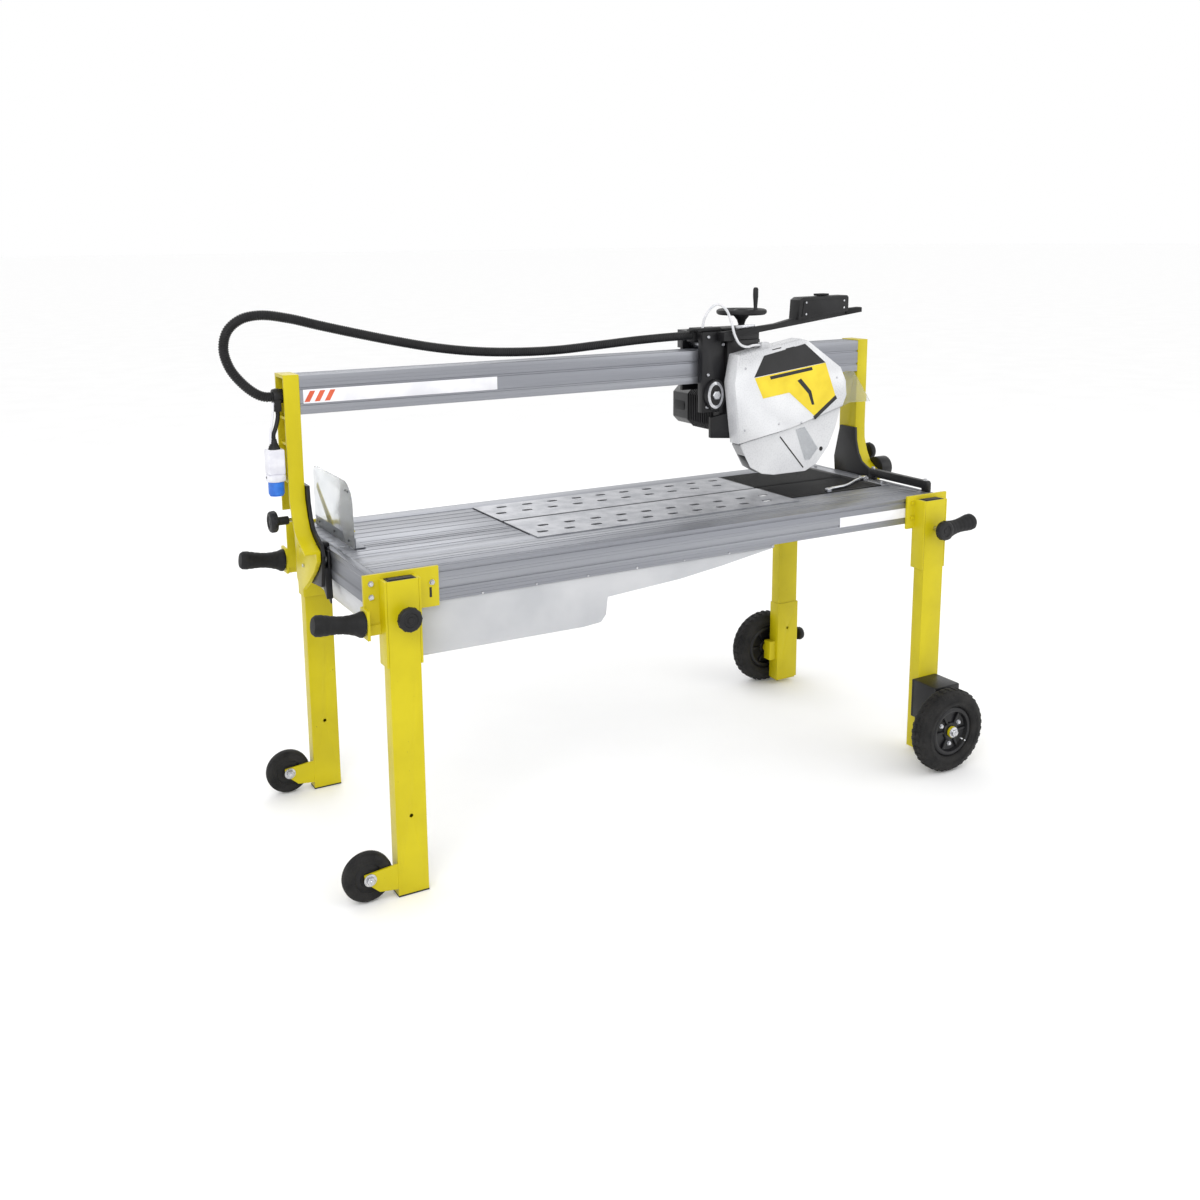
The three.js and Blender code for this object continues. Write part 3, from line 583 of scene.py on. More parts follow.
def fastened(name, head, spots, body, slot, finish=None):
    """Identical fasteners as one piece; spots are (x, y, z, direction)."""
    mesh = points(name, [spot[:3] for spot in spots])
    facing = mesh.attributes.new("facing", "FLOAT_VECTOR", "POINT")
    facing.data.foreach_set("vector", [c for spot in spots for c in DIRECTIONS[spot[3]]])
    made = grown(stood(mesh), FASTENERS, {"Head": head, "Material": finish or BOLT})
    return settled(made, body, slot)


# ---- cords ----
CONDUIT_RADIUS = 13
CONDUIT_Y = 497
CONDUIT_ROUTE = [(-112.6, 1190), (-128, 1190), (-150, 1198), (-184, 1226), (-216, 1270), (-228, 1318),
                 (-216, 1362), (-182, 1390), (-132, 1399), (-58, 1388), (17, 1368), (124, 1341), (235, 1315),
                 (349, 1292), (468, 1276), (592, 1268), (720, 1267), (853, 1274), (990, 1282), (1100, 1286),
                 (1160, 1287), (1187.4, 1287)]
LEAD_ROUTE = [(-103, 487, 1151.4), (-103, 487, 1140), (-107, 484, 1124), (-113, 481, 1108),
              (-119, 480, 1093), (-119, 480, 1082.8)]
HOSE_ROUTE = [(1197, 455, 1300.4), (1197, 454, 1315), (1200, 448, 1342), (1214, 437, 1372),
              (1232, 424, 1384), (1250, 408, 1368), (1262, 396, 1330), (1272, 391, 1290), (1290, 390, 1263),
              (1318, 392, 1253), (1345, 396, 1256), (1360, 398, 1256), (1371.6, 398, 1256)]


def cord_piece(name, finish, node, route, radii, gap, sides):
    """A mesh tube along a route, in place of the CAD node it stands for."""
    fine = spaced(smooth_route(route, 24), gap)
    made = Piece(name, finish).add(tube(fine, radii, sides)).shape()
    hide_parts(node)
    return made


def mains_plug():
    """Pale boxy plug with a blue collar, hanging under the conduit end."""
    x, y = -119, 480
    plug = Piece("mains_plug_body", PALE_NYLON)
    low, high = ends("mains_plug")
    plug.add(block(x - 22, x + 22, y - 20, y + 20, 990, 1056), 4, segments=3)
    flange = [(0, 972), (24, 972), (26, 975), (26, 986), (24, 991), (0, 991)]
    plug.add(turned((x, y, 0), (0, 0, 1), flange, 40), 0.6)
    plug.add(block(x - 26, x + 12, y - 26, y + 6, 975, 990), 2.5)
    foot = low.z
    collar = [(0, foot), (18, foot), (18, foot + 3), (20.5, foot + 5), (20.5, 971), (21.5, 973), (0, 973)]
    plug.add(turned((x, y, 0), (0, 0, 1), collar, 40), 0.0, BLUE_NYLON)
    neck = [(0, 1055), (16, 1055), (14, 1061), (9, 1070), (7, high.z), (0, high.z)]
    plug.add(turned((x, y, 0), (0, 0, 1), neck, 32), 0.6, NYLON)
    for z in (1063, 1068, 1073):
        ring = 14.5 - (z - 1061) * 0.5
        band = [(0, z), (ring, z), (ring, z + 2), (0, z + 2)]
        plug.add(turned((x, y, 0), (0, 0, 1), band, 32), 0.4, NYLON)
    plug.add(rod((x - 21, y - 9, 985), (x - 27, y - 9, 985), 3.2, 16, 0.5), 0, NYLON)
    return plug.done("bridge", "plug_plastic", "mains_plug")


def make_cords():
    route = [(x, CONDUIT_Y, z) for x, z in CONDUIT_ROUTE]
    ribs = [CONDUIT_RADIUS, CONDUIT_RADIUS, CONDUIT_RADIUS - 1.4, CONDUIT_RADIUS - 1.4]
    conduit = cord_piece("corrugated_conduit", POLYAMIDE, "conduit", route, ribs, 1.5, 20)
    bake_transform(conduit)
    plug = mains_plug()
    lead = cord_piece("mains_lead_sleeve", POLYAMIDE, "mains_lead", LEAD_ROUTE, [5.5], 2, 20)
    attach(lead, "bridge")
    hose = cord_piece("water_hose_tube", SILICONE, "water_hose", HOSE_ROUTE, [4], 3, 16)
    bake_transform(hose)


make_cords()


# ---- table ----
SIDES = {"near_left": (1, 1), "far_left": (1, -1), "near_right": (-1, 1), "far_right": (-1, -1)}
LEG_WIDTH, LEG_DEPTH = 79, 40
SPAN_X, SPAN_Y = 1699, 692


def mirror_x(side):
    return (lambda x: x) if side > 0 else (lambda x: LEG_WIDTH + SPAN_X - x)


def mirror_y(side):
    return (lambda y: y) if side > 0 else (lambda y: LEG_DEPTH + SPAN_Y - y)


def ordered(a, b):
    return (a, b) if a < b else (b, a)


def rails():
    for node in ("front_rail", "rear_rail", "inner_slat", "left_deck"):
        rounded(node, ALUMINIUM, "extrusion", 0.8)
    for node in ("left_cross_member", "right_cross_member"):
        rounded(node, SHADED_ALUMINIUM_ACROSS, "extrusion", 0.8)
    rounded("end_plate", ZINC, "extrusion", 1.0)
    low, high = ends("front_rail")
    trim = Piece("rail_trim", ALUMINIUM)
    for z in (776, 768, 741, 734):
        trim.add(block(low.x + 1, high.x - 1, low.y - 0.8, low.y + 1, z - 1, z + 1), 0.4)
    for y in (64, 78, 118, 136, 160):
        trim.add(block(low.x + 1, high.x - 1, y - 1.2, y + 1.2, high.z - 0.5, high.z + 0.7), 0.3)
    for y in (262, 300, 334, 352, 388, 440, 486, 530, 572):
        trim.add(block(low.x + 1, 488, y - 1.2, y + 1.2, high.z - 1.2, high.z - 0.4), 0.2)
    trim.done("table", "extrusion")
    label = Piece("rail_label", VINYL)
    label.add(block(1409, 1663, low.y - 1.1, low.y + 0.5, 746, 775), 0.3)
    label.done("table", "guard_white")
    spots = [(low.x - 11, ends("left_cross_member")[0].y, 772, "-y"), (1792, 50, 772, "-y")]
    fastened("rail_end_bolts", HEX_HEAD, spots, "table", "black_metal")


SLOT_PITCH, SLOT_LONG, SLOT_WIDE = 84, 34, 17
SLOTS_IN_A_ROW = 10


def deck_plates():
    """Zinc-plated plates with two rows of slots each, the rows just under half a pitch apart."""
    radius = SLOT_WIDE / 2
    half = SLOT_LONG / 2 - radius
    outline = [(half + radius * math.cos(a), radius * math.sin(a))
               for a in (math.radians(-90 + 30 * i) for i in range(7))]
    outline += [(-u, -v) for u, v in outline]
    slot = prism("z", outline, -60, 60)
    bmesh.ops.recalc_face_normals(slot, faces=slot.faces)
    bmesh.ops.scale(slot, vec=(MM, MM, MM), verts=slot.verts)
    cutter = helper(slot, "slot_cutter")
    for node, rows in (("front_deck_plate", (240, 306)), ("rear_deck_plate", (500, 572))):
        low, high = ends(node)
        plate = helper(merged(node), node + "_blank")
        spots = []
        for k, y in enumerate(rows):
            first = low.x + 40 + k * SLOT_PITCH * 0.42
            row = [first + SLOT_PITCH * i for i in range(SLOTS_IN_A_ROW)]
            spots += [(x, y, high.z) for x in row if x < high.x - 30]
        made = stood(points(node + "_perforated", spots))
        grown(made, PERFORATED, {"Plate": plate, "Cutter": cutter, "Material": ZINC})
        settled(made, "table", "zinc_plate", node)
    # A dark sheet under the deck plates: painted shade, so that the slots look dark.
    shade_sheet = Piece("channel_liner", SHADOW)
    shade_sheet.add(block(470, 1372, 246, 604, 768, 770.5), 0.5)
    shade_sheet.done("table", "tray_plastic")


def deck_pads():
    """Ribbed black pads beside the blade, a chromed rod over them, and the fence bar."""
    rounded("deck_pads", NYLON, "pad_rubber", 1.2)
    low, high = ends("deck_pads")
    for place, y, count in (("front", 248, 16), ("rear", 420, 20)):
        rib = Piece("pad_ribs_" + place, NYLON)
        rib.add(block(low.x + 8, high.x - 22, y, y + 4, high.z - 0.6, high.z + 1.6), 0.6)
        settled(repeated(rib, count, (0, 9.4, 0)), "table", "pad_rubber")
    guide = Piece("stop_rod", CHROME)
    route = [(1530, 244, 812.5), (1552, 251, 813), (1580, 256, 813), (1612, 262, 813), (1650, 282, 813),
             (1690, 306, 813), (1722, 322, 813), (1746, 333, 812.5)]
    guide.add(tube(spaced(smooth_route(route, 12), 4), [5], 20), 0)
    guide.add(block(1740, 1762, 322, 346, 805, 818), 2, BOLT)
    guide.add(block(1520, 1538, 238, 252, 805, 817), 2, BOLT)
    guide.done("table", "blade_steel")
    rounded("fence_bar", ENAMEL, "black_metal", 1.6)
    low, high = ends("fence_bar")
    spots = [(low.x + 9, y, high.z, "+z") for y in (100, 334)]
    fastened("fence_bolts", HEX_HEAD, spots, "table", "black_metal")
    fastened("end_plate_bolts", CAP_HEAD, [(1762, y, 805, "+z") for y in (262, 586)], "table", "black_metal")


def tray():
    rounded("water_tray", POLYTHENE, "tray_plastic", 7, segments=3,
            wide=[(lambda p: p.z < 612 and 0 < p.x < 640, 22)])
    low, high = ends("water_tray")
    lip = Piece("tray_lip", ALUMINIUM)
    lip.add(block(low.x + 4, high.x - 6, low.y - 4, low.y - 0.5, 716, 725), 0.8)
    lip.add(block(low.x + 4, high.x - 6, high.y + 0.5, high.y + 4, 716, 725), 0.8)
    lip.done("table", "extrusion")
    spots = [(x, y, 720.5, out) for y, out in ((low.y - 4, "-y"), (high.y + 4, "+y"))
             for x in range(120, 1180, 150)]
    fastened("tray_screws", PAN_HEAD, spots, "table", "black_metal")


def splash_panel():
    low, high = ends("splash_panel")
    outline = [(low.y, low.z), (high.y, low.z), (high.y, high.z - 26)]
    outline += [(high.y - 26 + 26 * math.cos(a), high.z - 26 + 26 * math.sin(a))
                for a in (math.radians(15 * i) for i in range(1, 7))]
    outline += [(low.y + u, high.z - v) for u, v in ((60, 0), (40, 6), (14, 26), (4, 44))]
    panel = Piece("splash_screen", CLEAR)
    panel.add(prism("x", outline, low.x, high.x), 0.8)
    panel.done("table", "clear_panel", "splash_panel")
    foot = Piece("splash_screen_foot", SHADED_ALUMINIUM_ACROSS)
    angle = [(33.4, 804), (62, 804), (62, 806.5), (36, 806.5), (36, 832), (33.4, 832)]
    foot.add(prism("y", angle, low.y, high.y), 0.6)
    foot.done("table", "extrusion")
    stay = Piece("splash_screen_stay", YELLOW)
    stay.add(prism("x", [(640, 912), (632, 926), (494, 820), (494, 806.4), (520, 806.4)], 36.2, 40), 0.8)
    stay.add(block(40, 92, 494, 522, 806.4, 810), 1.0)
    stay.done("table", "yellow_paint")
    fastened("splash_screen_screws", PAN_HEAD, [(low.x, y, 950, "-x") for y in (352, 372)]
             + [(low.x, y, 820, "-x") for y in (360, 480, 610)], "table", "black_metal", NYLON)


def legs():
    for tag, (side_x, side_y) in SIDES.items():
        mx, my = mirror_x(side_x), mirror_y(side_y)
        body = "leg_" + tag
        rounded(body, YELLOW, "yellow_paint", 2.4, segments=3)
        rounded("leg_bracket_" + tag, YELLOW, "yellow_paint", 1.2)
        top = ends(body)[1].z
        cap = Piece("leg_cap_" + tag, NYLON)
        cap.add(block(*ordered(mx(3.2), mx(75.8)), *ordered(my(3.2), my(36.8)), top - 12, top + 0.6), 1.5)
        cap.add(block(*ordered(mx(9), mx(70)), *ordered(my(8), my(32)), top, top + 2.2), 1.2)
        cap.done(body, "black_plastic")
        out = "-y" if side_y > 0 else "+y"
        face = my(41)
        reach = 62 if side_x > 0 else 30
        spots = [(mx(-25), face, 790, out), (mx(-25), face, 757, out)]
        spots += [(mx(85 + reach - 18), face, z, out) for z in ((772,) if side_x > 0 else (790, 745))]
        fastened("leg_bracket_bolts_" + tag, HEX_HEAD, spots, "table", "yellow_paint",
                 YELLOW if side_x < 0 else BOLT)
        if side_x > 0:
            # A dark block in the bracket slot: painted shade in its hollow.
            slot = Piece("bracket_slot_" + tag, SHADOW)
            slot.add(block(*ordered(mx(122), mx(128)), *ordered(my(40.4), my(41.5)), 735, 760), 0.4)
            slot.done("table", "black_metal")
            pad = Piece("foot_pad_" + tag, NYLON)
            pad.add(block(*ordered(mx(-0.6), mx(79.6)), *ordered(my(-0.6), my(40.6)), 0, 4), 0.8)
            pad.done(body, "black_plastic")


def grip(tag, side_x):
    """Waisted rubber grip with a flange at the bracket and finger grooves."""
    node = "lift_grip_" + tag
    low, high = ends(node)
    lean, length = 0.13, 124
    root = (high.x - 0.2 if side_x > 0 else low.x - 4, (low.y + high.y) / 2, 699)
    outline = [(0, 1), (30, 1), (31.5, 4), (31, 9), (27.5, 16), (24.5, 28), (22.2, 42), (21.2, 58), (22, 74),
               (24, 90), (25.6, 104), (25, 116), (20, 122.5), (0, length)]
    ridges = []
    for (r0, h0), (r1, h1) in zip(outline, outline[1:]):
        ridges.append((r0, h0))
        if 16 <= h0 < 104:
            ridges += [(r0 + (r1 - r0) * share - depth, h0 + (h1 - h0) * share)
                       for share, depth in ((0.25, 0), (0.5, 0.9), (0.75, 0))]
    ridges.append(outline[-1])
    direction = Vector((-side_x * math.cos(lean), 0, math.sin(lean)))
    handle = Piece(node + "_rubber", RUBBER)
    handle.add(turned(root, direction, ridges, 40))
    handle.done("table", "grip_rubber", node)


def knob(node):
    """Round black knob with a recessed face, on a threaded stem."""
    low, high = ends(node)
    size = high - low
    k = 0 if node.endswith("tilt_knob") or node.startswith("foot") else 1
    sign = -1 if node.startswith("left") or "_near_" in node else 1
    radius, reach = size[2] / 2, size[k]
    neck = reach - 24
    start = (low + high) / 2
    start[k] = low[k] if sign > 0 else high[k]
    direction = Vector((0, 0, 0))
    direction[k] = sign
    made = Piece(node + "_moulding", NYLON)
    shoulder = [(0, neck), (radius * 0.45, neck), (radius * 0.6, neck + 2), (radius * 0.93, neck + 5)]
    rim = [(radius, neck + 8), (radius, reach - 5), (radius * 0.94, reach - 1.5), (radius * 0.84, reach)]
    face = [(radius * 0.62, reach), (radius * 0.56, reach - 2.2), (radius * 0.3, reach - 2.6),
            (radius * 0.27, reach - 1.2), (0, reach - 1.2)]
    made.add(turned(start, direction, shoulder + rim + face, 48))
    for i in range(12):
        u, v = math.cos(2 * math.pi * i / 12), math.sin(2 * math.pi * i / 12)
        off = Vector((0, u, v)) if k == 0 else Vector((u, 0, v))
        a = start + off * (radius - 1.6) + direction * (neck + 8)
        made.add(rod(a, a + direction * (reach - neck - 13), 3.0, 12, 1.0))
    made.add(rod(start, start + direction * (neck + 2), 7 if k else 5, 24, 0.4), 0, BOLT)
    sleeve = 27 if node.endswith("tilt_knob") else 8
    made.add(rod(start + direction * max(neck - sleeve, 0.5), start + direction * (neck + 1), radius * 0.4,
                 32, 1))
    return made.done(frame["nodes"][node]["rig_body"], "grip_rubber", node)


def small_wheel(tag):
    node = "small_wheel_" + tag
    low, high = ends(node)
    c, half = (low + high) / 2, (high.y - low.y) / 2
    radius = (high.z - low.z) / 2
    wheel = Piece(node + "_tyred", TYRE)
    side = [(36, half), (40, half - 1.5), (47, half - 1), (50, half), (radius - 9, half),
            (radius - 3.5, half - 2.6), (radius - 0.8, half - 7), (radius, half - 11)]
    ring = side + [(r, -h) for r, h in reversed(side)]
    wheel.add(turned(c, (0, 1, 0), ring + [ring[0]], 64))
    disc = [(11.3, half - 1), (20, half - 1), (22, half - 4), (33, half - 5), (37.5, half - 2)]
    disc += [(r, -h) for r, h in reversed(disc)]
    wheel.add(turned(c, (0, 1, 0), disc + [disc[0]], 48), 0, NYLON)
    wheel.done(node, "tyre_rubber", node)


def axle_end(name, body, x, y, z, sign):
    """Washer and nut on an axle end."""
    nut = Piece(name, BOLT)
    nut.add(turned((x, y, z), (0, sign, 0), [(0, 0), (16, 0), (16, 2), (0, 2)], 32), 0.4)
    nut.add(turned((x, y, z), (0, sign, 0), [(0, 2), (11.5, 2), (11.5, 9), (9.5, 11), (0, 11)], 6), 0.5)
    nut.add(turned((x, y, z), (0, sign, 0), [(0, 11), (5.5, 11), (5.5, 13), (4.5, 14), (0, 14)], 20))
    nut.done(body, "blade_steel")


def loft_block(c, reach, across, low, high, lean):
    """A tread block standing on a wheel, lower towards its shoulder if it leans."""
    part = block(-reach, reach, *across, low, high)
    edge = max(abs(y) for y in across) - 1
    for vertex in part.verts:
        if lean and abs(vertex.co.y) > edge:
            vertex.co.z -= 9
            vertex.co.x *= 0.82
        vertex.co += c
    return part


def big_wheel(tag, sign):
    """Pneumatic tyre with tread blocks on both shoulders, and a black rim with raised ribs."""
    low, high = ends("tyre_" + tag)
    c, half, radius = (low + high) / 2, (high.y - low.y) / 2, (high.z - low.z) / 2
    bead = 76.5
    side = [(bead, half - 11), (bead + 4, half - 4), (bead + 12, half - 0.5), (radius - 24, half),
            (radius - 13, half - 3), (radius - 6.5, half - 9), (radius - 3.2, half - 17), (radius - 2.6, 0)]
    ring = side + [(r, -h) for r, h in reversed(side[:-1])]
    body = "big_wheel_" + tag
    tyre = Piece("tyre_carcass_" + tag, TYRE)
    tyre.add(turned(c, (0, 1, 0), ring + [ring[0]], 96))
    for r in (bead + 17, bead + 22):
        for s in (1, -1):
            tyre.add(turned(c + Vector((0, s * (half - 0.6), 0)), (0, s, 0),
                            [(r, 0), (r + 1.6, 0), (r + 1.6, 1.0), (r, 1.0), (r, 0)], 96))
    tyre.done(body, "tyre_rubber", "tyre_" + tag)
    count = 34
    for name, s in (("outer", sign), ("inner", -sign)):
        lug = Piece(f"tread_{name}_{tag}", TYRE)
        shoulder = ordered(s * (half - 24), s * (half - 3.5))
        lug.add(loft_block(c, 6.5, shoulder, radius - 8, radius - 0.6, True), 1.0)
        lug.add(loft_block(c, 5.5, ordered(s, s * 13), radius - 6, radius - 0.4, False), 1.0)
        turn = (0, 2 * math.pi / count, 0)
        settled(repeated(lug, count, turn=turn, centre=c), body, "tyre_rubber")
    rim = Piece("rim_disc_" + tag, ENAMEL)
    f = half - 9
    disc = [(11.3, half - 12), (25, half - 12), (27, half - 14), (28.5, half - 19), (50, half - 21),
            (58, half - 19), (62, f + 0.5), (66, f + 2), (72, f + 1), (bead - 0.4, f - 3)]
    disc += [(r, -h) for r, h in reversed(disc)]
    rim.add(turned(c, (0, 1, 0), disc + [disc[0]], 72))
    rim.done(body, "black_metal", "wheel_rim_" + tag)
    for name, s in (("outer", sign), ("inner", -sign)):
        rib = Piece(f"rim_ribs_{name}_{tag}", ENAMEL)
        y0, y1 = ordered(c.y + s * (half - 22), c.y + s * (half - 13.5))
        rib.add(block(c.x + 27, c.x + 61, y0, y1, c.z - 3.5, c.z + 3.5), 1.4)
        settled(repeated(rib, 6, turn=(0, math.pi / 3, 0), centre=c), body, "black_metal")
    out = "-y" if sign < 0 else "+y"
    spots = [(c.x + 40 * math.cos(a), c.y + sign * (half - 20), c.z + 40 * math.sin(a), out)
             for a in (math.radians(30 + 120 * i) for i in range(3))]
    fastened("rim_bolts_" + tag, HEX_HEAD, spots, body, "black_metal")
    valve = Piece("tyre_valve_" + tag, BOLT)
    valve.add(rod((c.x + 48, c.y + sign * (half - 21), c.z - 34),
                  (c.x + 55, c.y + sign * (half - 6), c.z - 39), 3, 16, 0.6))
    valve.done(body, "black_metal")


def running_gear():
    for tag, (side_x, _) in SIDES.items():
        grip(tag, side_x)
        knob("leg_knob_" + tag)
    knob("foot_knob_far_right")
    for tag in ("near", "far"):
        small_wheel(tag)
    for tag, sign in (("near", -1), ("far", 1)):
        big_wheel(tag, sign)
        low, high = ends("tyre_" + tag)
        c = (low + high) / 2
        y = low.y + 4 if sign < 0 else high.y - 4
        axle_end("axle_nut_big_" + tag, "leg_" + tag + "_right", c.x, y, c.z, sign)
        low, high = ends("small_wheel_" + tag)
        c = (low + high) / 2
        axle_end("axle_nut_small_" + tag, "leg_" + tag + "_left", c.x, low.y - 7, c.z, -1)
    bracket = Piece("axle_bracket_paint", ENAMEL)
    bracket.add(block(1672, 1769, -99, -91, 97, 247), 2)
    bracket.add(block(1672, 1680, -92, -5.6, 129, 247), 2)
    bracket.add(block(1761, 1769, -92, -5.6, 129, 247), 2)
    bracket.add(block(1671.6, 1768.4, -8, -0.6, 129.6, 246.4), 1)
    bracket.add(block(1673, 1768, -98, -1, 241, 248), 1.5)
    bracket.done("leg_near_right", "black_metal")


# ---- bridge ----
def columns():
    left, right = (lambda x: x), (lambda x: 1778 - x)
    for side, m, out in (("left", left, "-x"), ("right", right, "+x")):
        rounded(side + "_column", YELLOW, "yellow_paint", 1.6)
        rounded(side + "_pivot_bracket", ENAMEL, "black_metal", 1.2)
        knob(side + "_tilt_knob")
        web = m(-60)
        spots = [(web, y, z, out) for z in (1222, 1168) for y in (490, 526)]
        fastened(side + "_beam_bolts", WIDE_HEAD, spots, "bridge", "black_metal")
        fastened(side + "_pivot_screws", CAP_HEAD, [(web, y, z, out) for y, z in ((440, 790), (470, 740))],
                 "bridge", "black_metal")
    low = ends("left_cross_member")[0]
    hinge = Piece("left_hinge_arm", ENAMEL)
    arm = [(-36, 812), (-8, 820), (6, 816), (8, 806), (-4, 800), (-12, 806), (-34, 800)]
    hinge.add(prism("y", [(low.x + u, z) for u, z in arm], 380, 398), 2)
    hinge.add(block(low.x - 7, low.x - 0.5, 352, 420, 736, 800), 2)
    hinge.add(prism("x", [(352, 740), (420, 740), (404, 690), (352, 660)], low.x - 6, low.x - 1), 1.5)
    hinge.done("table", "black_metal")
    fastened("left_hinge_bolts", WIDE_HEAD, [(low.x - 7, 372, 776, "-x"), (low.x - 7, 366, 742, "-x")],
             "table", "black_metal")


def beam():
    rounded("beam", ALUMINIUM, "extrusion", 1.0)
    low, high = ends("beam")
    trim = Piece("beam_trim", ALUMINIUM)
    for z in (1232, 1222, 1161, 1152):
        trim.add(block(low.x + 2, high.x - 2, low.y - 0.8, low.y + 1, z - 0.9, z + 0.9), 0.35)
    for y in (480, 500, 520, 534):
        trim.add(block(low.x + 2, high.x - 2, y - 0.9, y + 0.9, high.z - 0.8, high.z + 0.8), 0.35)
    trim.done("bridge", "extrusion")
    label = Piece("beam_label", VINYL)
    label.add(block(-40, 512, low.y - 1.2, low.y + 1, 1170, 1206), 0.3)
    label.done("bridge", "guard_white")
    stripe = Piece("beam_label_stripes", RED_VINYL)
    stripe.add(prism("y", [(-38, 1174), (-24, 1174), (-8, 1202), (-22, 1202)], low.y - 1.6, low.y - 1.1), 0)
    settled(repeated(stripe, 3, (27, 0, 0)), "bridge", "guard_white")
    rounded("conduit_gland", NYLON, "cable_black", 1.2)
    strip = Piece("lead_marker", PALE_NYLON)
    route = [(-114, 484, 1176), (-117, 482, 1150), (-122, 480, 1120), (-127, 480, 1092), (-126, 480, 1064)]
    strip.add(tube(spaced(smooth_route(route, 8), 4), [3.2], 12), 0)
    strip.done("bridge", "plug_plastic")


# ---- carriage and handwheel ----
def carriage():
    rounded("carriage", ENAMEL, "motor_casting", 2.2)
    low = ends("carriage")[0]
    x, z = 1226, 1108
    boss = Piece("carriage_boss_ring", BOLT)
    ring = [(x + 29 * math.cos(a), z + 42 * math.sin(a)) for a in (math.radians(7.5 * i) for i in range(48))]
    boss.add(prism("y", ring, low.y - 3, low.y + 2), 1.5)
    inner = [(x + 20 * math.cos(a), z + 32 * math.sin(a)) for a in (math.radians(10 * i) for i in range(36))]
    boss.add(prism("y", inner, low.y - 5, low.y + 1), 1.5, ENAMEL)
    nut = [(0, 0), (15, 0), (15, 4), (12, 6), (0, 6)]
    boss.add(turned((x, low.y - 5, z), (0, -1, 0), nut, 6), 0.8, STEEL)
    boss.done("carriage", "motor_casting")
    for node in ("roller_1", "roller_2"):
        rounded(node, STEEL, "blade_steel", 0.8)
    front = [(1204, 1070), (1262, 1260), (1262, 1280), (1240, 1072), (1208, 1285), (1208, 1170)]
    fastened("carriage_bolts", CAP_HEAD, [(x, 440, z, "-y") for x, z in front], "carriage", "motor_casting")
    rear = [(x, 562, z, "+y") for x in (1210, 1378) for z in (1140, 1230)]
    fastened("carriage_rear_bolts", CAP_HEAD, rear, "carriage", "motor_casting")
    plate = Piece("carriage_cover", NYLON)
    plate.add(block(1176, 1262, 446, 500, 1300.5, 1312), 3)
    plate.add(block(1180, 1230, 478, 516, 1268, 1306), 3)
    plate.add(block(1270, 1396, 448, 556, 1300.4, 1306), 2)
    plate.done("carriage", "black_plastic")
    spindle = Piece("depth_screw", BOLT)
    collar = [(0, 1300), (17, 1300), (17, 1309), (13, 1311), (0, 1311)]
    spindle.add(turned((1349, 464, 0), (0, 0, 1), collar, 32), 0.6)
    spindle.add(block(1316, 1386, 441, 447, 1290, 1316), 1.5)
    spindle.done("carriage", "blade_steel")


def handwheel():
    low, high = ends("handwheel")
    x, y, z = 1349, 464, 1350
    wheel = Piece("handwheel_moulding", NYLON)
    hub = [(0, low.z + 11), (10, low.z + 11), (10, 1318), (14, 1330), (22, 1340)]
    rim = [(30, z), (58, z + 2), (64, z - 2), (72, z - 3), (77, z + 1), (78, z + 6), (76.5, z + 11),
           (71, z + 14), (64, z + 12), (56, z + 8), (24, z + 9)]
    cap = [(20, z + 14), (12, z + 16), (0, z + 16)]
    wheel.add(turned((x, y, 0), (0, 0, 1), hub + rim + cap, 64))
    handle = [(0, z + 6), (8, z + 6), (8, z + 14), (5.5, z + 18), (6.5, z + 34), (8.2, z + 56),
              (8, high.z - 6), (5.5, high.z - 1), (0, high.z)]
    wheel.add(turned((x + 8, y - 60, 0), (0, 0, 1), handle, 28))
    wheel.done("handwheel", "black_plastic", "handwheel")


# ---- cutting head ----
def decal(name, finish, outline, front, thick):
    made = Piece(name, finish)
    made.add(prism("y", outline, front - thick, front + 0.2), 0)
    made.done("head", "guard_white")


def guard():
    front = ends("blade_guard")[0].y
    chamfers = [(lambda p: p.y < front + 0.5, 11), (lambda p: front + 2.5 < p.y < front + 3.5, 8)]
    rounded("blade_guard", ABS, "guard_white", 0.7, wide=chamfers)
    black = [(1333, 1160), (1369, 1225), (1527, 1254), (1611, 1191)]
    yellow = [(1335, 1158), (1611, 1190), (1658, 1076), (1579, 1018), (1469, 1105), (1368, 1093)]
    decal("guard_decal_black", BLACK_VINYL, black, front, 0.5)
    decal("guard_decal_yellow", YELLOW_VINYL, yellow, front, 0.5)
    corner = [(1575, 1012), (1662, 1073), (1655, 1084), (1567, 1022)]
    decal("guard_decal_corner", BLACK_VINYL, corner, front, 0.9)
    band = [(1396, 1150), (1560, 1170), (1556, 1180), (1392, 1160)]
    decal("guard_decal_band", BLACK_VINYL, band, front, 0.9)
    fold = [(1500, 1140), (1545, 1096), (1560, 1060), (1570, 1060), (1556, 1104), (1514, 1146)]
    decal("guard_decal_chevron", BLACK_VINYL, fold, front, 0.9)
    screws = [(1431, 1010), (1300, 1000), (1300, 1190), (1660, 1140), (1520, 1006)]
    fastened("guard_screws", PAN_HEAD, [(x, front, z, "-y") for x, z in screws], "head", "guard_white")
    # Dark slits on the guard face: painted shade in the vents.
    vent = Piece("guard_vents", SHADOW)
    for x in (1400, 1452):
        slit = [(x, 1240), (x + 34, 1245), (x + 34, 1248), (x, 1243)]
        vent.add(prism("y", slit, front - 0.3, front + 1), 0)
    vent.done("head", "guard_white")
    flap = Piece("guard_flap", CLEAR)
    fold = [(1706, 1040), (1740, 1052), (1752, 1152), (1716, 1156), (1700, 1120), (1702, 1076)]
    flap.add(prism("y", fold, 398, 400.5), 0.6)
    flap.add(prism("y", [(1740, 1052), (1827, 1049), (1752, 1152)], 398, 400.5), 0.6)
    flap.done("head", "clear_panel")


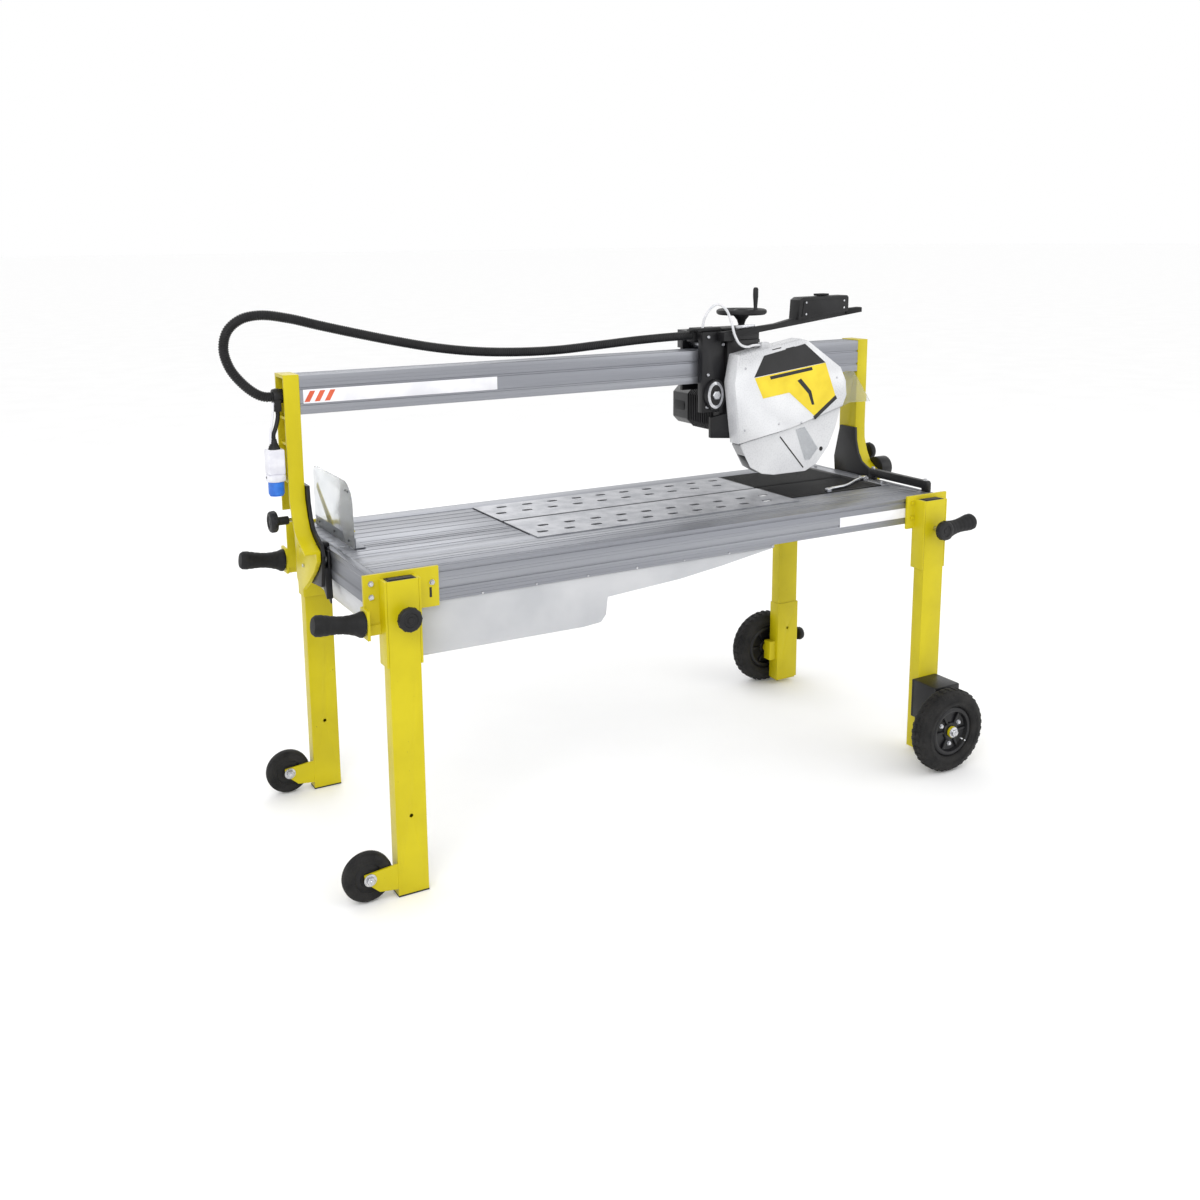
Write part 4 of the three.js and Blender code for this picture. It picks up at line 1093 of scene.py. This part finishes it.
def visor():
    front = ends("lower_visor")[0].y
    chamfers = [(lambda p: p.y < front + 0.5, 5), (lambda p: front + 2 < p.y < front + 3, 3.6)]
    rounded("lower_visor", ABS, "guard_white", 0.6, wide=chamfers)
    # A dark strip and a dark disc on the visor face: painted shade in a slit and a hole.
    trim = Piece("visor_trim", SHADOW)
    trim.add(prism("y", [(1438, 966), (1441, 969), (1536, 862), (1533, 859)], front - 0.3, front + 1), 0)
    trim.add(turned((1605, front + 1, 915), (0, -1, 0), [(0, 0), (7, 0), (7, 1.6), (0, 1.6)], 24))
    trim.done("visor", "guard_white")
    window = Piece("visor_window", CLEAR)
    pane = [(1500, 986), (1536, 992), (1592, 918), (1560, 884), (1540, 884)]
    window.add(prism("y", pane, front - 0.3, front + 1), 0)
    window.done("visor", "guard_white")


def cutting_head():
    rounded("drive_housing", ENAMEL, "motor_casting", 2)
    rounded("motor", ENAMEL, "motor_casting", 3, segments=3)
    low, high = ends("motor")
    c = (low + high) / 2
    h, cut = 66, 24
    fin = Piece("motor_fins", ENAMEL)
    outline = [(h - cut, -h), (h, cut - h), (h, h - cut), (h - cut, h), (cut - h, h), (-h, h - cut),
               (-h, cut - h), (cut - h, -h)]
    fin.add(prism("y", [(c.x + u * 0.985, c.z + v * 0.985) for u, v in outline], 476, 479), 0.8)
    settled(repeated(fin, 14, (0, 10, 0)), "head", "motor_casting")
    fan = Piece("fan_cover", NYLON)
    cover = [(0, 0), (62, 0), (62, 56), (56, 64), (50, 67), (0, 67)]
    fan.add(turned((c.x, 632, c.z), (0, 1, 0), cover, 64), 1)
    fan.done("head", "motor_casting")
    # Dark bars on the fan cover: painted shade in its slots.
    slot = Piece("fan_cover_slots", SHADOW)
    slot.add(block(c.x - 2.5, c.x + 2.5, 698, 699.8, c.z + 16, c.z + 46), 0.5)
    settled(repeated(slot, 12, turn=(0, math.pi / 6, 0), centre=(c.x, 698, c.z)), "head", "motor_casting")
    blade()
    rounded("arbor", STEEL, "blade_steel", 0.5)
    lever()


def blade():
    """Steel core with a cooling gullet between every two diamond segments."""
    low, high = ends("blade")
    c, radius, half = (low + high) / 2, (high.z - low.z) / 2, (high.y - low.y) / 2
    core = Piece("blade_core", STEEL)
    thick = half * 0.8
    profile = [(12.9, thick), (radius - 11, thick), (radius - 11, -thick), (12.9, -thick)]
    core.add(turned(c, (0, 1, 0), profile + [profile[0]], 96))
    core.done("blade", "blade_steel", "blade")
    count = 24
    wedge = math.pi / count * 0.9
    outline = [(c.x + r * math.sin(a), c.z + r * math.cos(a)) for r, turn in ((radius - 12, 1), (radius, -1))
               for a in (turn * wedge * k for k in (-1, -0.33, 0.33, 1))]
    segment = Piece("blade_segments", SEGMENT)
    segment.add(prism("y", outline, low.y, high.y), 0.3)
    settled(repeated(segment, count, turn=(0, 2 * math.pi / count, 0), centre=c), "blade", "blade_steel")


def lever():
    rounded("operating_lever", NYLON, "black_plastic", 2.6, segments=3)
    rounded("power_switch", RUBBER, "black_plastic", 1.2)
    grip_end = Piece("lever_grip", RUBBER)
    grip_end.add(prism("y", [(1712, 1336), (1778, 1343), (1780, 1358), (1712, 1354)], 398, 427), 4,
                 segments=3)
    grip_end.done("head", "grip_rubber")
    lid = Piece("switch_box_lid", NYLON)
    lid.add(prism("y", [(1524, 1336), (1702, 1353), (1702, 1388), (1532, 1386)], 386, 389), 1.0)
    lid.done("head", "black_plastic")
    spots = [(x, 386, z, "-y") for x, z in ((1540, 1344), (1692, 1360), (1540, 1380), (1692, 1382))]
    fastened("switch_box_screws", PAN_HEAD, spots, "head", "black_plastic")


rails()
deck_plates()
deck_pads()
tray()
splash_panel()
legs()
running_gear()
columns()
beam()
carriage()
handwheel()
guard()
visor()
cutting_head()

for shape in HELPERS:
    bpy.data.objects.remove(shape)


# ---- studio ----
def studio():
    bpy.ops.mesh.primitive_plane_add(size=300, location=(0, 0, -0.0005))
    floor = bpy.context.object
    floor.name = "floor"
    pale, tree, surface = new_finish("pale_floor", Roughness=0.9)
    shade = blended(tree, between(tree, pattern(tree, 400), 0.3, 0.7, 0, 1), 0xFFFFFF, 0xFCFCFC)
    tree.links.new(shade, surface.inputs["Base Color"])
    floor.data.materials.append(pale)
    world = bpy.data.worlds.new("studio")
    bpy.context.scene.world = world
    world.use_nodes = True
    sky = world.node_tree.nodes["Background"].inputs
    sky["Color"].default_value = linear(0xFFFFFF)
    sky["Strength"].default_value = 1.0
    bpy.context.scene.view_settings.view_transform = "Standard"
    lamps = (("key", (-3.2, -3.6, 4.2), 90, 2.6), ("fill", (3.6, -3.0, 2.6), 30, 3.0),
             ("back", (0.5, 4.0, 3.6), 40, 3.0))
    for name, place, power, size in lamps:
        lamp = bpy.data.lights.new(name, "AREA")
        lamp.energy = power
        lamp.size = size
        made = bpy.data.objects.new(name, lamp)
        made.location = place
        made.rotation_euler = (Vector((0, 0, 0.6)) - Vector(place)).to_track_quat("-Z", "Y").to_euler()
        bpy.context.scene.collection.objects.link(made)


studio()
